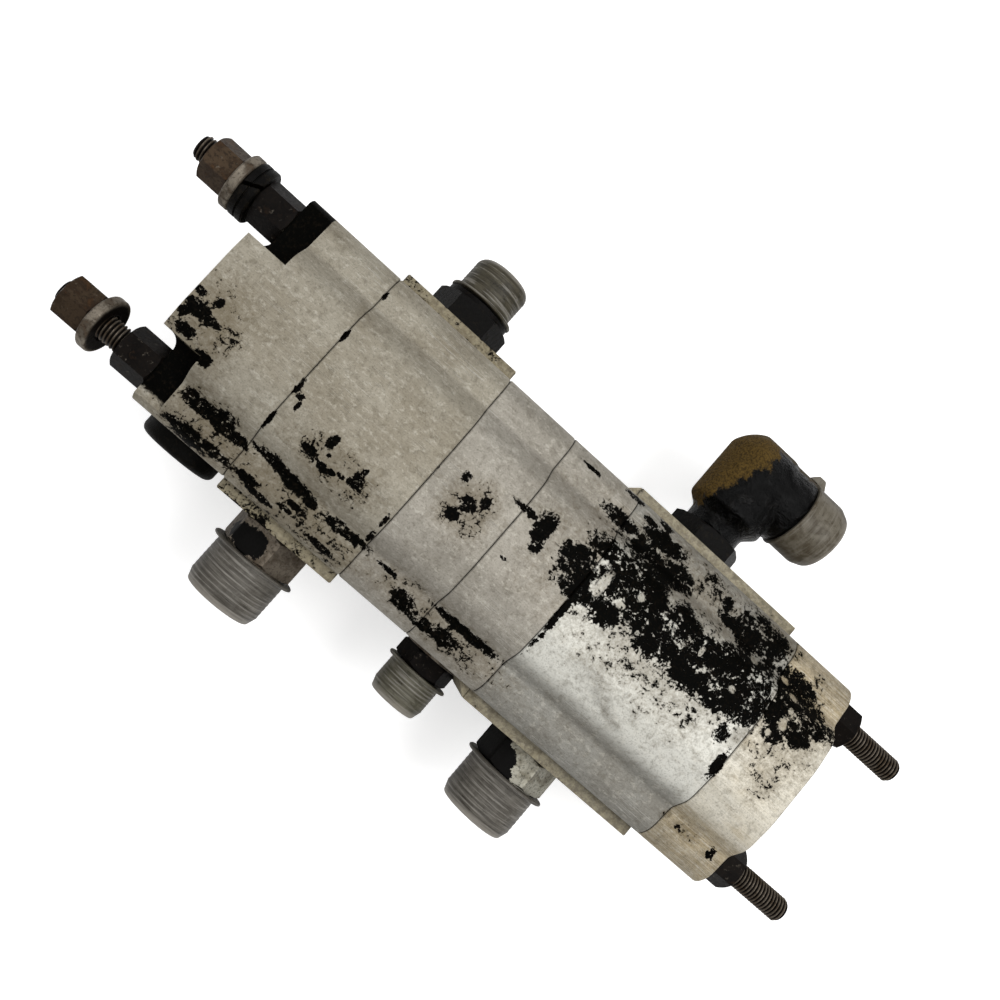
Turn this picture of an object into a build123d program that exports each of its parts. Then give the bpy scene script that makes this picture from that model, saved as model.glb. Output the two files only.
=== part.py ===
"""Tandem gear pump for oil, held together by long tie studs.

Two gear stages stand one behind the other on one line. The frame is in millimetres: +X runs from the
drive end to the rear, +Y points to the delivery side, +Z is up. The origin is the centre of the nose
face, where the pump meets the machine that drives it.
"""

import os
from math import acos, cos, pi, radians, sin, tan

from build123d import *

os.makedirs("parts", exist_ok=True)

# Section of the stack, the same on every block
body_height = 120.0
body_width = 95.6
crown_flat_width = 26.0
crown_shoulder_y = 26.0
crown_shoulder_drop = 2.6
flute_y = 32.0
flute_drop = 10.2
lobe_drop = 12.6
crown_blend = 30.0
shoulder_blend = 9.0
flute_blend = 3.5
lobe_blend = 9.5
edge_break = 0.5

# Lengths of the blocks along the shaft
front_cover_length = 46.5
front_body_length = 54.0
spacer_length = 32.5
drain_block_length = 33.0
rear_body_length = 84.0
rear_cover_length = 30.0

# Nose and stud shoulders of the front cover
nose_width = 42.0
shoulder_setback = 5.5
notch_length = 10.6
notch_drop = 14.0
nose_root_radius = 5.0

# Port pads and the flare that leads up to the rear ones
pad_proud = 4.8
pad_half_height = 34.0
pad_flare_length = 5.5
small_boss_radius = 15.0
small_boss_proud = 1.2
small_boss_spot_radius = 13.6

# Tie studs and their nuts
stud_spacing_y = 70.0
stud_edge_wall = 8.4
stud_radius = 5.0
shank_radius = 4.5
stud_hole_radius = 5.5
stud_end_chamfer = 1.0
upper_stud_front_reach = 36.5
upper_stud_rear_reach = 36.1
lower_stud_front_reach = 11.3
lower_stud_rear_reach = 13.0
nut_across_flats = 16.0
nut_chamfer = 1.2
lock_nut_height = 14.3
clamp_nut_height = 11.8
rear_nut_height = 10.0
front_nut_turns = (0.0, 0.0, 0.0, 0.0)
rear_nut_turns = (30.0, 0.0, 0.0, 0.0)
seated_nut_turn = 0.0
loose_nut_turn = 30.0

# Washers on the two long studs
washer_outer_radius = 11.2
washer_hole_radius = 5.7
washer_thickness = 4.2
washer_edge = 0.6
spring_washer_width = 6.5
spring_washer_slit = 1.6
spring_washer_groove = 0.8
loose_washer_tilt = 8.0
loose_washer_x = -19.1
loose_nut_gap = 0.35

# Gears
gear_module = 4.0
gear_teeth = 11
pressure_angle = radians(25.0)
gear_addendum = 3.6
root_clearance = 0.45
tooth_backlash = 0.4
front_gear_width = 22.0
rear_gear_width = 46.0
tip_gap = 0.4
end_gap = 0.2

# Shafts and their bearings
journal_radius = 10.0
running_clearance = 0.05
bush_wall = 1.5
block_clearance = 0.05
shaft_hole_clearance = 0.5
shaft_end_gap = 1.0
stub_radius = 8.0
socket_radius = 9.0
coupling_radius = 14.0
drive_coupling_length = 28.0
drive_coupling_recess = 2.0
drive_stub_length = 14.0
middle_coupling_length = 34.0
middle_stub_gap = 3.0
coupling_chamfer = 1.0
coupling_journal_gap = 0.4

# Shaft seals, one at the nose and one each side of the middle coupling
seal_outer_radius = 17.0
seal_width = 7.0
seal_lip_radius = 12.5
seal_face_wall = 1.2
seal_land = 5.5
middle_seal_land = 4.5
circlip_thickness = 1.75
circlip_groove_depth = 1.2
circlip_radial_width = 3.4
circlip_gap_angle = 40.0
circlip_seal_gap = 0.3

# Static seals between the blocks and behind the bearing blocks
seal_track_offset = 3.4
section_seal_width = 2.4
section_seal_depth = 1.8
pressure_seal_inset = 3.0
pressure_seal_width = 2.0
pressure_seal_depth = 1.5

# Dowels that line the blocks up
dowel_radius = 3.0
dowel_length = 10.0
dowel_y = 39.5
dowel_z = 20.0

# Port threads in the blocks and the oil passages behind them
suction_stem_radius = 13.2
suction_stem_depth = 14.0
suction_passage_radius = 10.0
delivery_stem_radius = 11.0
delivery_stem_depth = 13.0
delivery_passage_radius = 7.0
drain_stem_radius = 8.0
drain_stem_depth = 11.0
drain_passage_radius = 3.5
drain_passage_depth = 38.0
drain_port_setback = 19.5
drain_cross_clearance = 0.5

# Port fittings: hexagon, male thread and bore of each size, reaches measured from the block's seat
sealing_washer_thickness = 1.6
sealing_washer_overhang = 1.2
sealing_washer_clearance = 0.2
thread_chamfer = 1.0
hex_chamfer = 1.6
seat_cone_depth = 2.0
seat_cone_growth = 1.8
suction_flats = 30.0
suction_hex_height = 12.3
suction_thread_radius = 15.0
suction_reach = 32.7
suction_bore_radius = 9.5
suction_neck_radius = 13.8
suction_neck_height = 1.6
suction_turn = 16.0
delivery_flats = 30.0
delivery_hex_height = 11.5
delivery_neck_radius = 14.6
delivery_neck_height = 2.0
delivery_thread_radius = 11.0
delivery_reach = 30.7
delivery_bore_radius = 6.5
delivery_turn = 0.0
drain_flats = 22.5
drain_hex_height = 7.6
drain_thread_radius = 10.0
drain_reach = 22.5
drain_bore_radius = 4.5
drain_neck_radius = 9.0
drain_neck_height = 1.4
drain_turn = 0.0

# Dust caps: thin cups that are pushed over the male threads
cap_slide_clearance = 0.3
cap_end_wall = 1.4
lip_thickness = 1.3
lip_blend = 0.4
suction_cap_gap = 0.5
suction_cap_radius = 16.25
suction_cap_lip = 19.4
suction_cap_taper = 4.5
suction_cap_end = 14.7
suction_cap_blend = 1.0
delivery_cap_gap = 1.0
delivery_cap_radius = 12.75
delivery_cap_lip = 15.4
delivery_cap_taper = 3.5
delivery_cap_end = 10.9
delivery_cap_blend = 4.6
drain_cap_gap = 0.5
drain_cap_radius = 12.0
drain_cap_lip = 14.6
drain_cap_taper = 4.5
drain_cap_end = 10.6
drain_cap_blend = 1.0
elbow_cap_gap = 0.5
elbow_cap_radius = 15.9
elbow_cap_lip = 16.6
elbow_cap_taper = 6.5
elbow_cap_end = 13.2
elbow_cap_blend = 4.5
cap_tab_length = 8.5
cap_tab_overlap = 4.9
cap_tab_height = 3.1
cap_tab_thickness = 5.0
cap_tab_slope = 2.4
cap_tab_blend = 1.4
cap_tab_clearance = 0.3

# Round blanking plug and the small bleed screw of the front cover
side_plug_x = 23.8
side_plug_radius = 16.7
side_plug_proud = 8.6
side_plug_blend = 3.0
side_plug_stem_radius = 12.0
side_plug_stem_length = 12.0
side_plug_key = 12.0
side_plug_key_depth = 6.0
bleed_screw_x = 34.0
bleed_screw_hex = 10.0
bleed_screw_head = 6.6
bleed_screw_stem_radius = 4.0
bleed_screw_stem_length = 9.0

# Elbow of the rear delivery port, its axis heights measured from the pad
elbow_nut_height = 9.6
elbow_neck_radius = 12.6
elbow_flare_start = 17.4
elbow_flare_height = 4.4
elbow_stem_radius = 17.5
elbow_axis_height = 42.4
elbow_knuckle_radius = 17.0
elbow_corner_radius = 18.8
elbow_leg_radius = 16.3
elbow_leg_length = 21.6
elbow_edge = 1.0
elbow_thread_length = 15.7
elbow_bore_radius = 9.0

# Stations along the shaft and heights that follow from the sizes above
half_height = body_height / 2
half_width = body_width / 2
shoulder_x = shoulder_setback
notch_x = shoulder_setback + notch_length
front_joint = front_cover_length
spacer_joint = front_joint + front_body_length
drain_joint = spacer_joint + spacer_length
rear_body_joint = drain_joint + drain_block_length
rear_cover_joint = rear_body_joint + rear_body_length
rear_face = rear_cover_joint + rear_cover_length
pad_face = half_width + pad_proud
stud_y = stud_spacing_y / 2
stud_z = half_height - lobe_drop - stud_edge_wall
shank_front = shoulder_x - lock_nut_height
shank_rear = rear_face + rear_nut_height

pitch_radius = gear_module * gear_teeth / 2
centre_distance = 2 * pitch_radius
base_radius = pitch_radius * cos(pressure_angle)
tip_radius = pitch_radius + gear_addendum
root_radius = centre_distance - tip_radius - root_clearance
drive_z = pitch_radius
idler_z = -pitch_radius
cavity_radius = tip_radius + tip_gap
block_radius = cavity_radius - block_clearance
bush_bore = journal_radius + running_clearance
bush_radius = bush_bore + bush_wall
shaft_hole = journal_radius + shaft_hole_clearance

front_gear_start = front_joint + (front_body_length - front_gear_width) / 2
rear_gear_start = rear_body_joint + (rear_body_length - rear_gear_width) / 2
front_port_x = front_joint + front_body_length / 2
rear_port_x = rear_body_joint + rear_body_length / 2
small_port_x = drain_joint + drain_port_setback
coupling_middle = (spacer_joint + rear_body_joint) / 2


def body_corners(width_half, height_half):
    """Corners of one quarter of the block outline, from the top strip to the side wall."""
    return [
        (crown_flat_width / 2, height_half, crown_blend),
        (crown_shoulder_y, height_half - crown_shoulder_drop, shoulder_blend),
        (flute_y, height_half - flute_drop, flute_blend),
        (width_half, height_half - lobe_drop, lobe_blend),
    ]


def block_face(x):
    """Face of a block at one station, with the stud holes left out."""
    quarter = body_corners(half_width, half_height)
    points, blends = [], []
    for side_y, side_z, order in ((1, 1, -1), (-1, 1, 1), (-1, -1, -1), (1, -1, 1)):
        for y, z, blend in quarter[::order]:
            points.append((side_y * y, side_z * z))
            blends.append(blend)
    with BuildSketch(Plane.YZ.offset(x)) as face:
        with BuildLine():
            FilletPolyline(*points, radius=blends, close=True)
        make_face()
    return face.sketch


def bore_along_x(radius, start, end, y=0.0, z=0.0):
    """Cut a round hole along the shaft direction in the part being built."""
    with BuildSketch(Plane.YZ.offset(start)) as hole:
        with Locations((y, z)):
            Circle(radius)
    extrude(hole.sketch, amount=end - start, mode=Mode.SUBTRACT)


def bore_across(radius, x, start, end, z=0.0):
    """Cut a round hole along Y in the part being built."""
    with BuildSketch(Plane.XZ.offset(-start)) as hole:
        with Locations((x, z)):
            Circle(radius)
    extrude(hole.sketch, amount=start - end, mode=Mode.SUBTRACT)


def cut_stud_holes(start, end):
    """Cut the four tie stud holes between two stations."""
    with BuildSketch(Plane.YZ.offset(start)) as holes:
        with GridLocations(stud_spacing_y, 2 * stud_z, 2, 2):
            Circle(stud_hole_radius)
    extrude(holes.sketch, amount=end - start, mode=Mode.SUBTRACT)


def cut_dowel_holes(joint, direction):
    """Cut the two blind dowel holes of a joint, into the block that lies in one direction."""
    with BuildSketch(Plane.YZ.offset(joint)) as holes:
        with Locations((dowel_y, dowel_z), (-dowel_y, -dowel_z)):
            Circle(dowel_radius)
    extrude(holes.sketch, amount=direction * dowel_length / 2, mode=Mode.SUBTRACT)


def two_circles(radius, x):
    """Figure of eight round both shaft axes, at one station."""
    with BuildSketch(Plane.YZ.offset(x)) as eight:
        with Locations((0, drive_z), (0, idler_z)):
            Circle(radius)
    return eight.sketch


def seal_track(x):
    """Closed track of a section seal, at one station."""
    inner = cavity_radius + seal_track_offset
    outer = inner + section_seal_width
    with BuildSketch(Plane.YZ.offset(x)) as track:
        SlotOverall(centre_distance + 2 * outer, 2 * outer, rotation=90)
        SlotOverall(centre_distance + 2 * inner, 2 * inner, rotation=90, mode=Mode.SUBTRACT)
    return track.sketch


def cut_seal_groove(joint, direction):
    """Cut the groove of a section seal at a joint, into the block that lies in one direction."""
    extrude(seal_track(joint), amount=direction * section_seal_depth, mode=Mode.SUBTRACT)


def end_edges(block, station):
    """Edges round the outline of a block at one of its ends."""
    ends = block.faces().filter_by(Axis.X)
    return ends.filter_by(lambda face: abs(face.center().X - station) < 0.01)[0].outer_wire().edges()


def add_pad(side, start, end):
    """Add a raised port pad to one side of the block being built."""
    width = half_width / 2 + pad_proud
    with BuildSketch(Plane.XY.offset(-pad_half_height)) as pad:
        with Locations(((start + end) / 2, side * (pad_face - width / 2))):
            Rectangle(end - start, width)
    extrude(pad.sketch, amount=2 * pad_half_height)


def finish_piece(piece, name):
    """Label a finished piece and write its file."""
    piece.label = name
    export_step(piece, f"parts/{name}.step")


def group_of(pieces, name):
    """Label identical pieces as one group and write its file."""
    finish_piece(Compound(children=pieces), name)



def side_plane(place):
    """Plane through the axis of a fitting, with its second direction along that axis."""
    return Plane(place.origin, x_dir=place.x_dir, z_dir=place.x_dir.cross(place.z_dir))


def ring(place, outer, inner, height):
    """Flat ring that stands on a plane."""
    with BuildPart() as piece:
        with BuildSketch(place):
            Circle(outer)
            Circle(inner, mode=Mode.SUBTRACT)
        extrude(amount=height)
    return piece.part


def chamfered_ring(place, outer, inner, height, edge):
    """Ring whose two outer edges are broken."""
    with BuildPart() as piece:
        with BuildSketch(side_plane(place)):
            with BuildLine():
                Polyline(
                    (inner, 0), (outer - edge, 0), (outer, edge), (outer, height - edge),
                    (outer - edge, height), (inner, height), close=True,
                )
            make_face()
        revolve(axis=Axis(place.origin, place.z_dir))
    return piece.part


def hexagon(place, flats, height, edge, bore=0.0, turn=0.0):
    """Hexagon nut or screw head with its corners turned off at both ends."""
    corner = flats / 2 / cos(pi / 6)
    rise = edge * tan(pi / 6)
    with BuildPart() as piece:
        with BuildSketch(place):
            RegularPolygon(flats / 2, 6, major_radius=False, rotation=turn)
        extrude(amount=height)
        with BuildSketch(side_plane(place)):
            with BuildLine():
                Polyline(
                    (0, 0), (corner - edge, 0), (corner, rise), (corner, height - rise),
                    (corner - edge, height), (0, height), close=True,
                )
            make_face()
        revolve(axis=Axis(place.origin, place.z_dir), mode=Mode.INTERSECT)
        if bore:
            with BuildSketch(place):
                Circle(bore)
            extrude(amount=height, mode=Mode.SUBTRACT)
    return piece.part


def shaft_place(x, y, z):
    """Plane across the shaft direction at a point, facing the rear."""
    return Plane((x, y, z), x_dir=(0, 1, 0), z_dir=(1, 0, 0))


def side_place(side, x, height=0.0, z=0.0):
    """Plane on one side of the pump, facing outwards, a given height off the block wall."""
    return Plane((x, side * (half_width + height), z), x_dir=(1, 0, 0), z_dir=(0, side, 0))


# Front cover: nose, stud shoulders, coupling chamber and the seat of the shaft seal
seal_start = front_joint - seal_land - seal_width
circlip_start = seal_start - circlip_seal_gap - circlip_thickness
circlip_groove_radius = seal_outer_radius + circlip_groove_depth

with BuildPart() as front_cover:
    extrude(block_face(0), amount=front_cover_length)
    chamfer(end_edges(front_cover, front_joint), edge_break)
    for side in (1, -1):
        nose_side = side * nose_width / 2
        shoulder_side = side * body_width
        with BuildSketch(Plane.XY.offset(-half_height)):
            with BuildLine():
                FilletPolyline(
                    (0, nose_side), (shoulder_x, nose_side), (shoulder_x, shoulder_side),
                    radius=nose_root_radius,
                )
                Polyline((shoulder_x, shoulder_side), (0, shoulder_side), (0, nose_side))
            make_face()
        extrude(amount=body_height, mode=Mode.SUBTRACT)
        for top in (1, -1):
            with BuildSketch(Plane.YZ):
                with Locations(((nose_side + shoulder_side) / 2, top * (half_height - notch_drop / 2))):
                    Rectangle(body_width - nose_width / 2, notch_drop)
            extrude(amount=notch_x, mode=Mode.SUBTRACT)
    bore_along_x(seal_outer_radius, 0, front_joint - seal_land, z=drive_z)
    bore_along_x(shaft_hole, front_joint - seal_land, front_joint, z=drive_z)
    bore_along_x(circlip_groove_radius, circlip_start, circlip_start + circlip_thickness, z=drive_z)
    cut_stud_holes(0, front_joint)
    cut_dowel_holes(front_joint, -1)
    cut_seal_groove(front_joint, -1)
    bore_across(side_plug_stem_radius, side_plug_x, -half_width, side_plug_stem_length - half_width)
    bore_across(bleed_screw_stem_radius, bleed_screw_x, half_width, half_width - bleed_screw_stem_length)
finish_piece(front_cover.part, "front_cover")


# Pump bodies: the gear cavity runs right through and a port opens into it from each side
def pump_body(name, start, end, port_x, ports):
    """Body of one gear stage. Each port is its side, thread radius, thread depth and passage radius."""
    with BuildPart() as body:
        extrude(block_face(start), amount=end - start)
        for side in (1, -1):
            add_pad(side, start, end)
        for station in (start, end):
            chamfer(end_edges(body, station), edge_break)
            cut_dowel_holes(station, 1 if station == start else -1)
        extrude(two_circles(cavity_radius, start), amount=end - start, mode=Mode.SUBTRACT)
        cut_stud_holes(start, end)
        for side, thread_radius, thread_depth, passage_radius in ports:
            bore_across(thread_radius, port_x, side * pad_face, side * (pad_face - thread_depth))
            bore_across(passage_radius, port_x, side * pad_face, 0)
    finish_piece(body.part, name)


suction_port = (-1, suction_stem_radius, suction_stem_depth, suction_passage_radius)
delivery_port = (1, delivery_stem_radius, delivery_stem_depth, delivery_passage_radius)
pump_body("front_pump_body", front_joint, spacer_joint, front_port_x, (suction_port, delivery_port))
pump_body("rear_pump_body", rear_body_joint, rear_cover_joint, rear_port_x, (suction_port, delivery_port))


# Spacer block: seat of the first middle shaft seal and the front half of the coupling chamber
front_middle_seal = spacer_joint + middle_seal_land
rear_middle_seal = rear_body_joint - middle_seal_land - seal_width

with BuildPart() as spacer_block:
    extrude(block_face(spacer_joint), amount=spacer_length)
    for station in (spacer_joint, drain_joint):
        chamfer(end_edges(spacer_block, station), edge_break)
        cut_dowel_holes(station, 1 if station == spacer_joint else -1)
    bore_along_x(shaft_hole, spacer_joint, drain_joint, z=drive_z)
    bore_along_x(seal_outer_radius, front_middle_seal, drain_joint, z=drive_z)
    cut_stud_holes(spacer_joint, drain_joint)
    cut_seal_groove(spacer_joint, 1)
finish_piece(spacer_block.part, "spacer_block")


# Drain block: rear half of the chamber, its drain port, and the flare that meets the rear pads
drain_seat = half_width + small_boss_proud
drain_cross_x = rear_middle_seal - drain_passage_radius - drain_cross_clearance

with BuildPart() as drain_block:
    extrude(block_face(drain_joint), amount=drain_block_length)
    for station in (drain_joint, rear_body_joint):
        chamfer(end_edges(drain_block, station), edge_break)
    for side in (1, -1):
        inner_side = side * half_width / 2
        wall_side = side * half_width
        with BuildSketch(Plane.XY.offset(-pad_half_height)):
            with BuildLine():
                Polyline(
                    (rear_body_joint - pad_flare_length, inner_side),
                    (rear_body_joint - pad_flare_length, wall_side),
                    (rear_body_joint, side * pad_face),
                    (rear_body_joint, inner_side),
                    close=True,
                )
            make_face()
        extrude(amount=2 * pad_half_height)
    with BuildSketch(side_place(-1, small_port_x)):
        Circle(small_boss_radius)
        with Locations((rear_body_joint - small_port_x + small_boss_radius, 0)):
            Rectangle(2 * small_boss_radius, 2 * small_boss_radius, mode=Mode.SUBTRACT)
    extrude(amount=small_boss_proud, both=True)
    with BuildSketch(side_place(-1, small_port_x, small_boss_proud)):
        Circle(small_boss_spot_radius)
    extrude(amount=pad_proud, mode=Mode.SUBTRACT)
    for station in (drain_joint, rear_body_joint):
        cut_dowel_holes(station, 1 if station == drain_joint else -1)
    bore_along_x(shaft_hole, drain_joint, rear_body_joint, z=drive_z)
    bore_along_x(seal_outer_radius, drain_joint, rear_middle_seal + seal_width, z=drive_z)
    cut_stud_holes(drain_joint, rear_body_joint)
    cut_seal_groove(drain_joint, 1)
    cut_seal_groove(rear_body_joint, -1)
    bore_across(drain_stem_radius, small_port_x, -drain_seat, drain_stem_depth - drain_seat)
    bore_across(drain_passage_radius, small_port_x, -drain_seat, drain_passage_depth - drain_seat)
    with BuildSketch(Plane((drain_cross_x, drain_passage_depth - drain_seat, 0))):
        Circle(drain_passage_radius)
    extrude(amount=drive_z, mode=Mode.SUBTRACT)
finish_piece(drain_block.part, "drain_block")


# Rear cover
with BuildPart() as rear_cover:
    extrude(block_face(rear_cover_joint), amount=rear_cover_length)
    for station in (rear_cover_joint, rear_face):
        chamfer(end_edges(rear_cover, station), edge_break)
    cut_dowel_holes(rear_cover_joint, 1)
    cut_stud_holes(rear_cover_joint, rear_face)
    cut_seal_groove(rear_cover_joint, 1)
finish_piece(rear_cover.part, "rear_cover")


# Seals between the blocks, and the dowels across each joint
section_seals = []
dowels = []
for joint, direction in (
    (front_joint, -1), (spacer_joint, 1), (drain_joint, 1), (rear_body_joint, -1), (rear_cover_joint, 1)
):
    with BuildPart() as section_seal:
        extrude(seal_track(joint), amount=direction * section_seal_depth)
    section_seals.append(section_seal.part)
    with BuildPart() as dowel_pair:
        with BuildSketch(Plane.YZ.offset(joint - dowel_length / 2)):
            with Locations((dowel_y, dowel_z), (-dowel_y, -dowel_z)):
                Circle(dowel_radius)
        extrude(amount=dowel_length)
    dowels.extend(dowel_pair.part.solids())
group_of(section_seals, "section_seals")
group_of(dowels, "dowel_pins")


# Gears with their shafts
def tooth_point(radius, flank):
    """Point on one flank of a tooth that lies along the first axis; flank is +1 or -1."""
    half_at_pitch = pi / (2 * gear_teeth) - tooth_backlash / (4 * pitch_radius)
    pitch_roll = tan(pressure_angle) - pressure_angle
    angle_here = acos(min(1.0, base_radius / radius))
    half = half_at_pitch + pitch_roll - (tan(angle_here) - angle_here)
    return (radius * cos(flank * half), radius * sin(flank * half))


def tooth_face():
    """One tooth with its flanks as arcs through three points of the involute, and straight below it."""
    middle = (base_radius + tip_radius) / 2
    root_half = acos(tooth_point(base_radius, 1)[0] / base_radius)
    foot = root_radius - gear_module / 4
    low = [(foot * cos(root_half), flank * foot * sin(root_half)) for flank in (1, -1)]
    with BuildSketch() as tooth:
        with BuildLine():
            for flank in (1, -1):
                base = tooth_point(base_radius, flank)
                Line(low[0] if flank == 1 else low[1], base)
                ThreePointArc(base, tooth_point(middle, flank), tooth_point(tip_radius, flank))
            ThreePointArc(tooth_point(tip_radius, 1), (tip_radius, 0), tooth_point(tip_radius, -1))
            Line(low[0], low[1])
        make_face()
    return tooth.sketch


def gear_shaft(start, width, axis_z, first_tooth, lengths):
    """Gear with its shaft: lengths lists radius and end station of each step, from front to rear."""
    tooth = tooth_face()
    with BuildPart() as piece:
        with BuildSketch(shaft_place(start, 0, axis_z)):
            Circle(root_radius)
            with PolarLocations(0, gear_teeth, start_angle=first_tooth):
                add(tooth)
        extrude(amount=width)
        for radius, near, far in lengths:
            with BuildSketch(shaft_place(near, 0, axis_z)):
                Circle(radius)
            extrude(amount=far - near)
    return piece.part


tooth_pitch_angle = 360 / gear_teeth
drive_tooth = -90.0
idler_tooth = 90.0 + tooth_pitch_angle / 2

drive_coupling_start = drive_coupling_recess
drive_coupling_end = drive_coupling_start + drive_coupling_length
front_gear_end = front_gear_start + front_gear_width
rear_gear_end = rear_gear_start + rear_gear_width
middle_coupling_start = coupling_middle - middle_coupling_length / 2
middle_coupling_end = coupling_middle + middle_coupling_length / 2

front_drive_steps = (
    (stub_radius, drive_coupling_end - drive_stub_length, front_gear_start),
    (journal_radius, drive_coupling_end + coupling_journal_gap, middle_coupling_start - coupling_journal_gap),
    (stub_radius, front_gear_end, coupling_middle - middle_stub_gap / 2),
)
rear_drive_steps = (
    (stub_radius, coupling_middle + middle_stub_gap / 2, rear_gear_start),
    (journal_radius, middle_coupling_end + coupling_journal_gap, rear_cover_joint - shaft_end_gap),
)
front_idler_steps = ((journal_radius, front_joint + shaft_end_gap, spacer_joint - shaft_end_gap),)
rear_idler_steps = ((journal_radius, rear_body_joint + shaft_end_gap, rear_cover_joint - shaft_end_gap),)

for name, start, width, axis_z, first_tooth, steps in (
    ("front_drive_gear", front_gear_start, front_gear_width, drive_z, drive_tooth, front_drive_steps),
    ("front_idler_gear", front_gear_start, front_gear_width, idler_z, idler_tooth, front_idler_steps),
    ("rear_drive_gear", rear_gear_start, rear_gear_width, drive_z, drive_tooth, rear_drive_steps),
    ("rear_idler_gear", rear_gear_start, rear_gear_width, idler_z, idler_tooth, rear_idler_steps),
):
    finish_piece(gear_shaft(start, width, axis_z, first_tooth, steps), name)


# Couplings that carry the drive to the front shaft and on to the rear shaft
socket_depth = drive_coupling_length - drive_stub_length
drive_sleeve = chamfered_ring(
    shaft_place(drive_coupling_start, 0, drive_z),
    coupling_radius, stub_radius, drive_coupling_length, coupling_chamfer,
)
with BuildPart() as drive_coupling:
    add(drive_sleeve)
    bore_along_x(socket_radius, drive_coupling_start, drive_coupling_start + socket_depth, z=drive_z)
finish_piece(drive_coupling.part, "drive_coupling")
finish_piece(
    chamfered_ring(
        shaft_place(middle_coupling_start, 0, drive_z),
        coupling_radius, stub_radius, middle_coupling_length, coupling_chamfer,
    ),
    "middle_coupling",
)


# Bearing blocks, their bushes and the pressure seals on the blocks' outer faces
def bearing_set(start, end, gear_start, gear_end, name):
    """Two bearing blocks of one stage with four bushes and two pressure seals."""
    blocks, bushes, seals = [], [], []
    for outer, inner, direction in ((start, gear_start - end_gap, 1), (end, gear_end + end_gap, -1)):
        length = abs(inner - outer)
        seal_outline = block_radius - pressure_seal_inset
        with BuildPart() as seal:
            extrude(two_circles(seal_outline, outer), amount=direction * pressure_seal_depth)
            extrude(
                two_circles(seal_outline - pressure_seal_width, outer),
                amount=direction * pressure_seal_depth, mode=Mode.SUBTRACT,
            )
        with BuildPart() as block:
            extrude(two_circles(block_radius, outer), amount=direction * length)
            add(seal.part, mode=Mode.SUBTRACT)
            for axis_z in (drive_z, idler_z):
                bore_along_x(bush_radius, outer, inner, z=axis_z)
        blocks.append(block.part)
        seals.append(seal.part)
        for axis_z in (drive_z, idler_z):
            place = shaft_place(min(outer, inner), 0, axis_z)
            bushes.append(ring(place, bush_radius, bush_bore, length))
    group_of(blocks, name + "_bearing_blocks")
    group_of(bushes, name + "_bearing_bushes")
    group_of(seals, name + "_pressure_seals")


bearing_set(front_joint, spacer_joint, front_gear_start, front_gear_end, "front")
bearing_set(rear_body_joint, rear_cover_joint, rear_gear_start, rear_gear_end, "rear")


# Shaft seals and the circlip that holds the front one
def shaft_seal(start):
    """Lip seal: a shell with a flat wall and a lip that runs on the shaft."""
    with BuildPart() as seal:
        with BuildSketch(side_plane(shaft_place(start, 0, drive_z))):
            with BuildLine():
                Polyline(
                    (bush_bore, 0), (seal_outer_radius, 0), (seal_outer_radius, seal_width),
                    (seal_outer_radius - seal_face_wall, seal_width),
                    (seal_outer_radius - seal_face_wall, seal_face_wall),
                    (seal_lip_radius, seal_face_wall), (seal_lip_radius, seal_width - seal_face_wall),
                    (bush_bore, seal_width / 2), close=True,
                )
            make_face()
        revolve(axis=Axis((start, 0, drive_z), (1, 0, 0)))
    return seal.part


finish_piece(shaft_seal(seal_start), "nose_shaft_seal")
group_of([shaft_seal(front_middle_seal), shaft_seal(rear_middle_seal)], "middle_shaft_seals")

with BuildPart() as seal_circlip:
    with BuildSketch(shaft_place(circlip_start, 0, drive_z)):
        Circle(circlip_groove_radius)
        Circle(circlip_groove_radius - circlip_radial_width, mode=Mode.SUBTRACT)
        gap_half = radians(circlip_gap_angle / 2)
        with BuildLine():
            reach = 2 * circlip_groove_radius
            Polyline(
                (0, 0), (-reach * sin(gap_half), -reach * cos(gap_half)),
                (reach * sin(gap_half), -reach * cos(gap_half)), close=True,
            )
        make_face(mode=Mode.SUBTRACT)
    extrude(amount=circlip_thickness)
finish_piece(seal_circlip.part, "seal_circlip")


# Tie studs, nuts and washers
def stud(y, z, front, rear):
    """Stud between two stations: thinner through the blocks and their nuts, its free ends chamfered."""
    with BuildPart() as piece:
        for radius, near, far in (
            (stud_radius, front, shank_front), (shank_radius, shank_front, shank_rear),
            (stud_radius, shank_rear, rear),
        ):
            with BuildSketch(shaft_place(near, y, z)):
                Circle(radius)
            extrude(amount=far - near)
        for station in (front, rear):
            chamfer(end_edges(piece, station), stud_end_chamfer)
    return piece.part


def nut(x, y, z, height, turn, bore):
    """Hexagon nut whose front face is at one station; the stud fills its bore."""
    return hexagon(shaft_place(x, y, z), nut_across_flats, height, nut_chamfer, bore=bore, turn=turn)


upper_studs = [(stud_y, stud_z), (-stud_y, stud_z)]
lower_studs = [(stud_y, -stud_z), (-stud_y, -stud_z)]
group_of(
    [stud(y, z, -upper_stud_front_reach, rear_face + upper_stud_rear_reach) for y, z in upper_studs],
    "upper_tie_studs",
)
group_of(
    [stud(y, z, -lower_stud_front_reach, rear_face + lower_stud_rear_reach) for y, z in lower_studs],
    "lower_tie_studs",
)
group_of(
    [nut(shank_front, y, z, lock_nut_height, turn, shank_radius)
     for (y, z), turn in zip(upper_studs + lower_studs, front_nut_turns)],
    "front_lock_nuts",
)
group_of(
    [nut(rear_face, y, z, rear_nut_height, turn, shank_radius)
     for (y, z), turn in zip(upper_studs + lower_studs, rear_nut_turns)],
    "rear_nuts",
)

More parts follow.
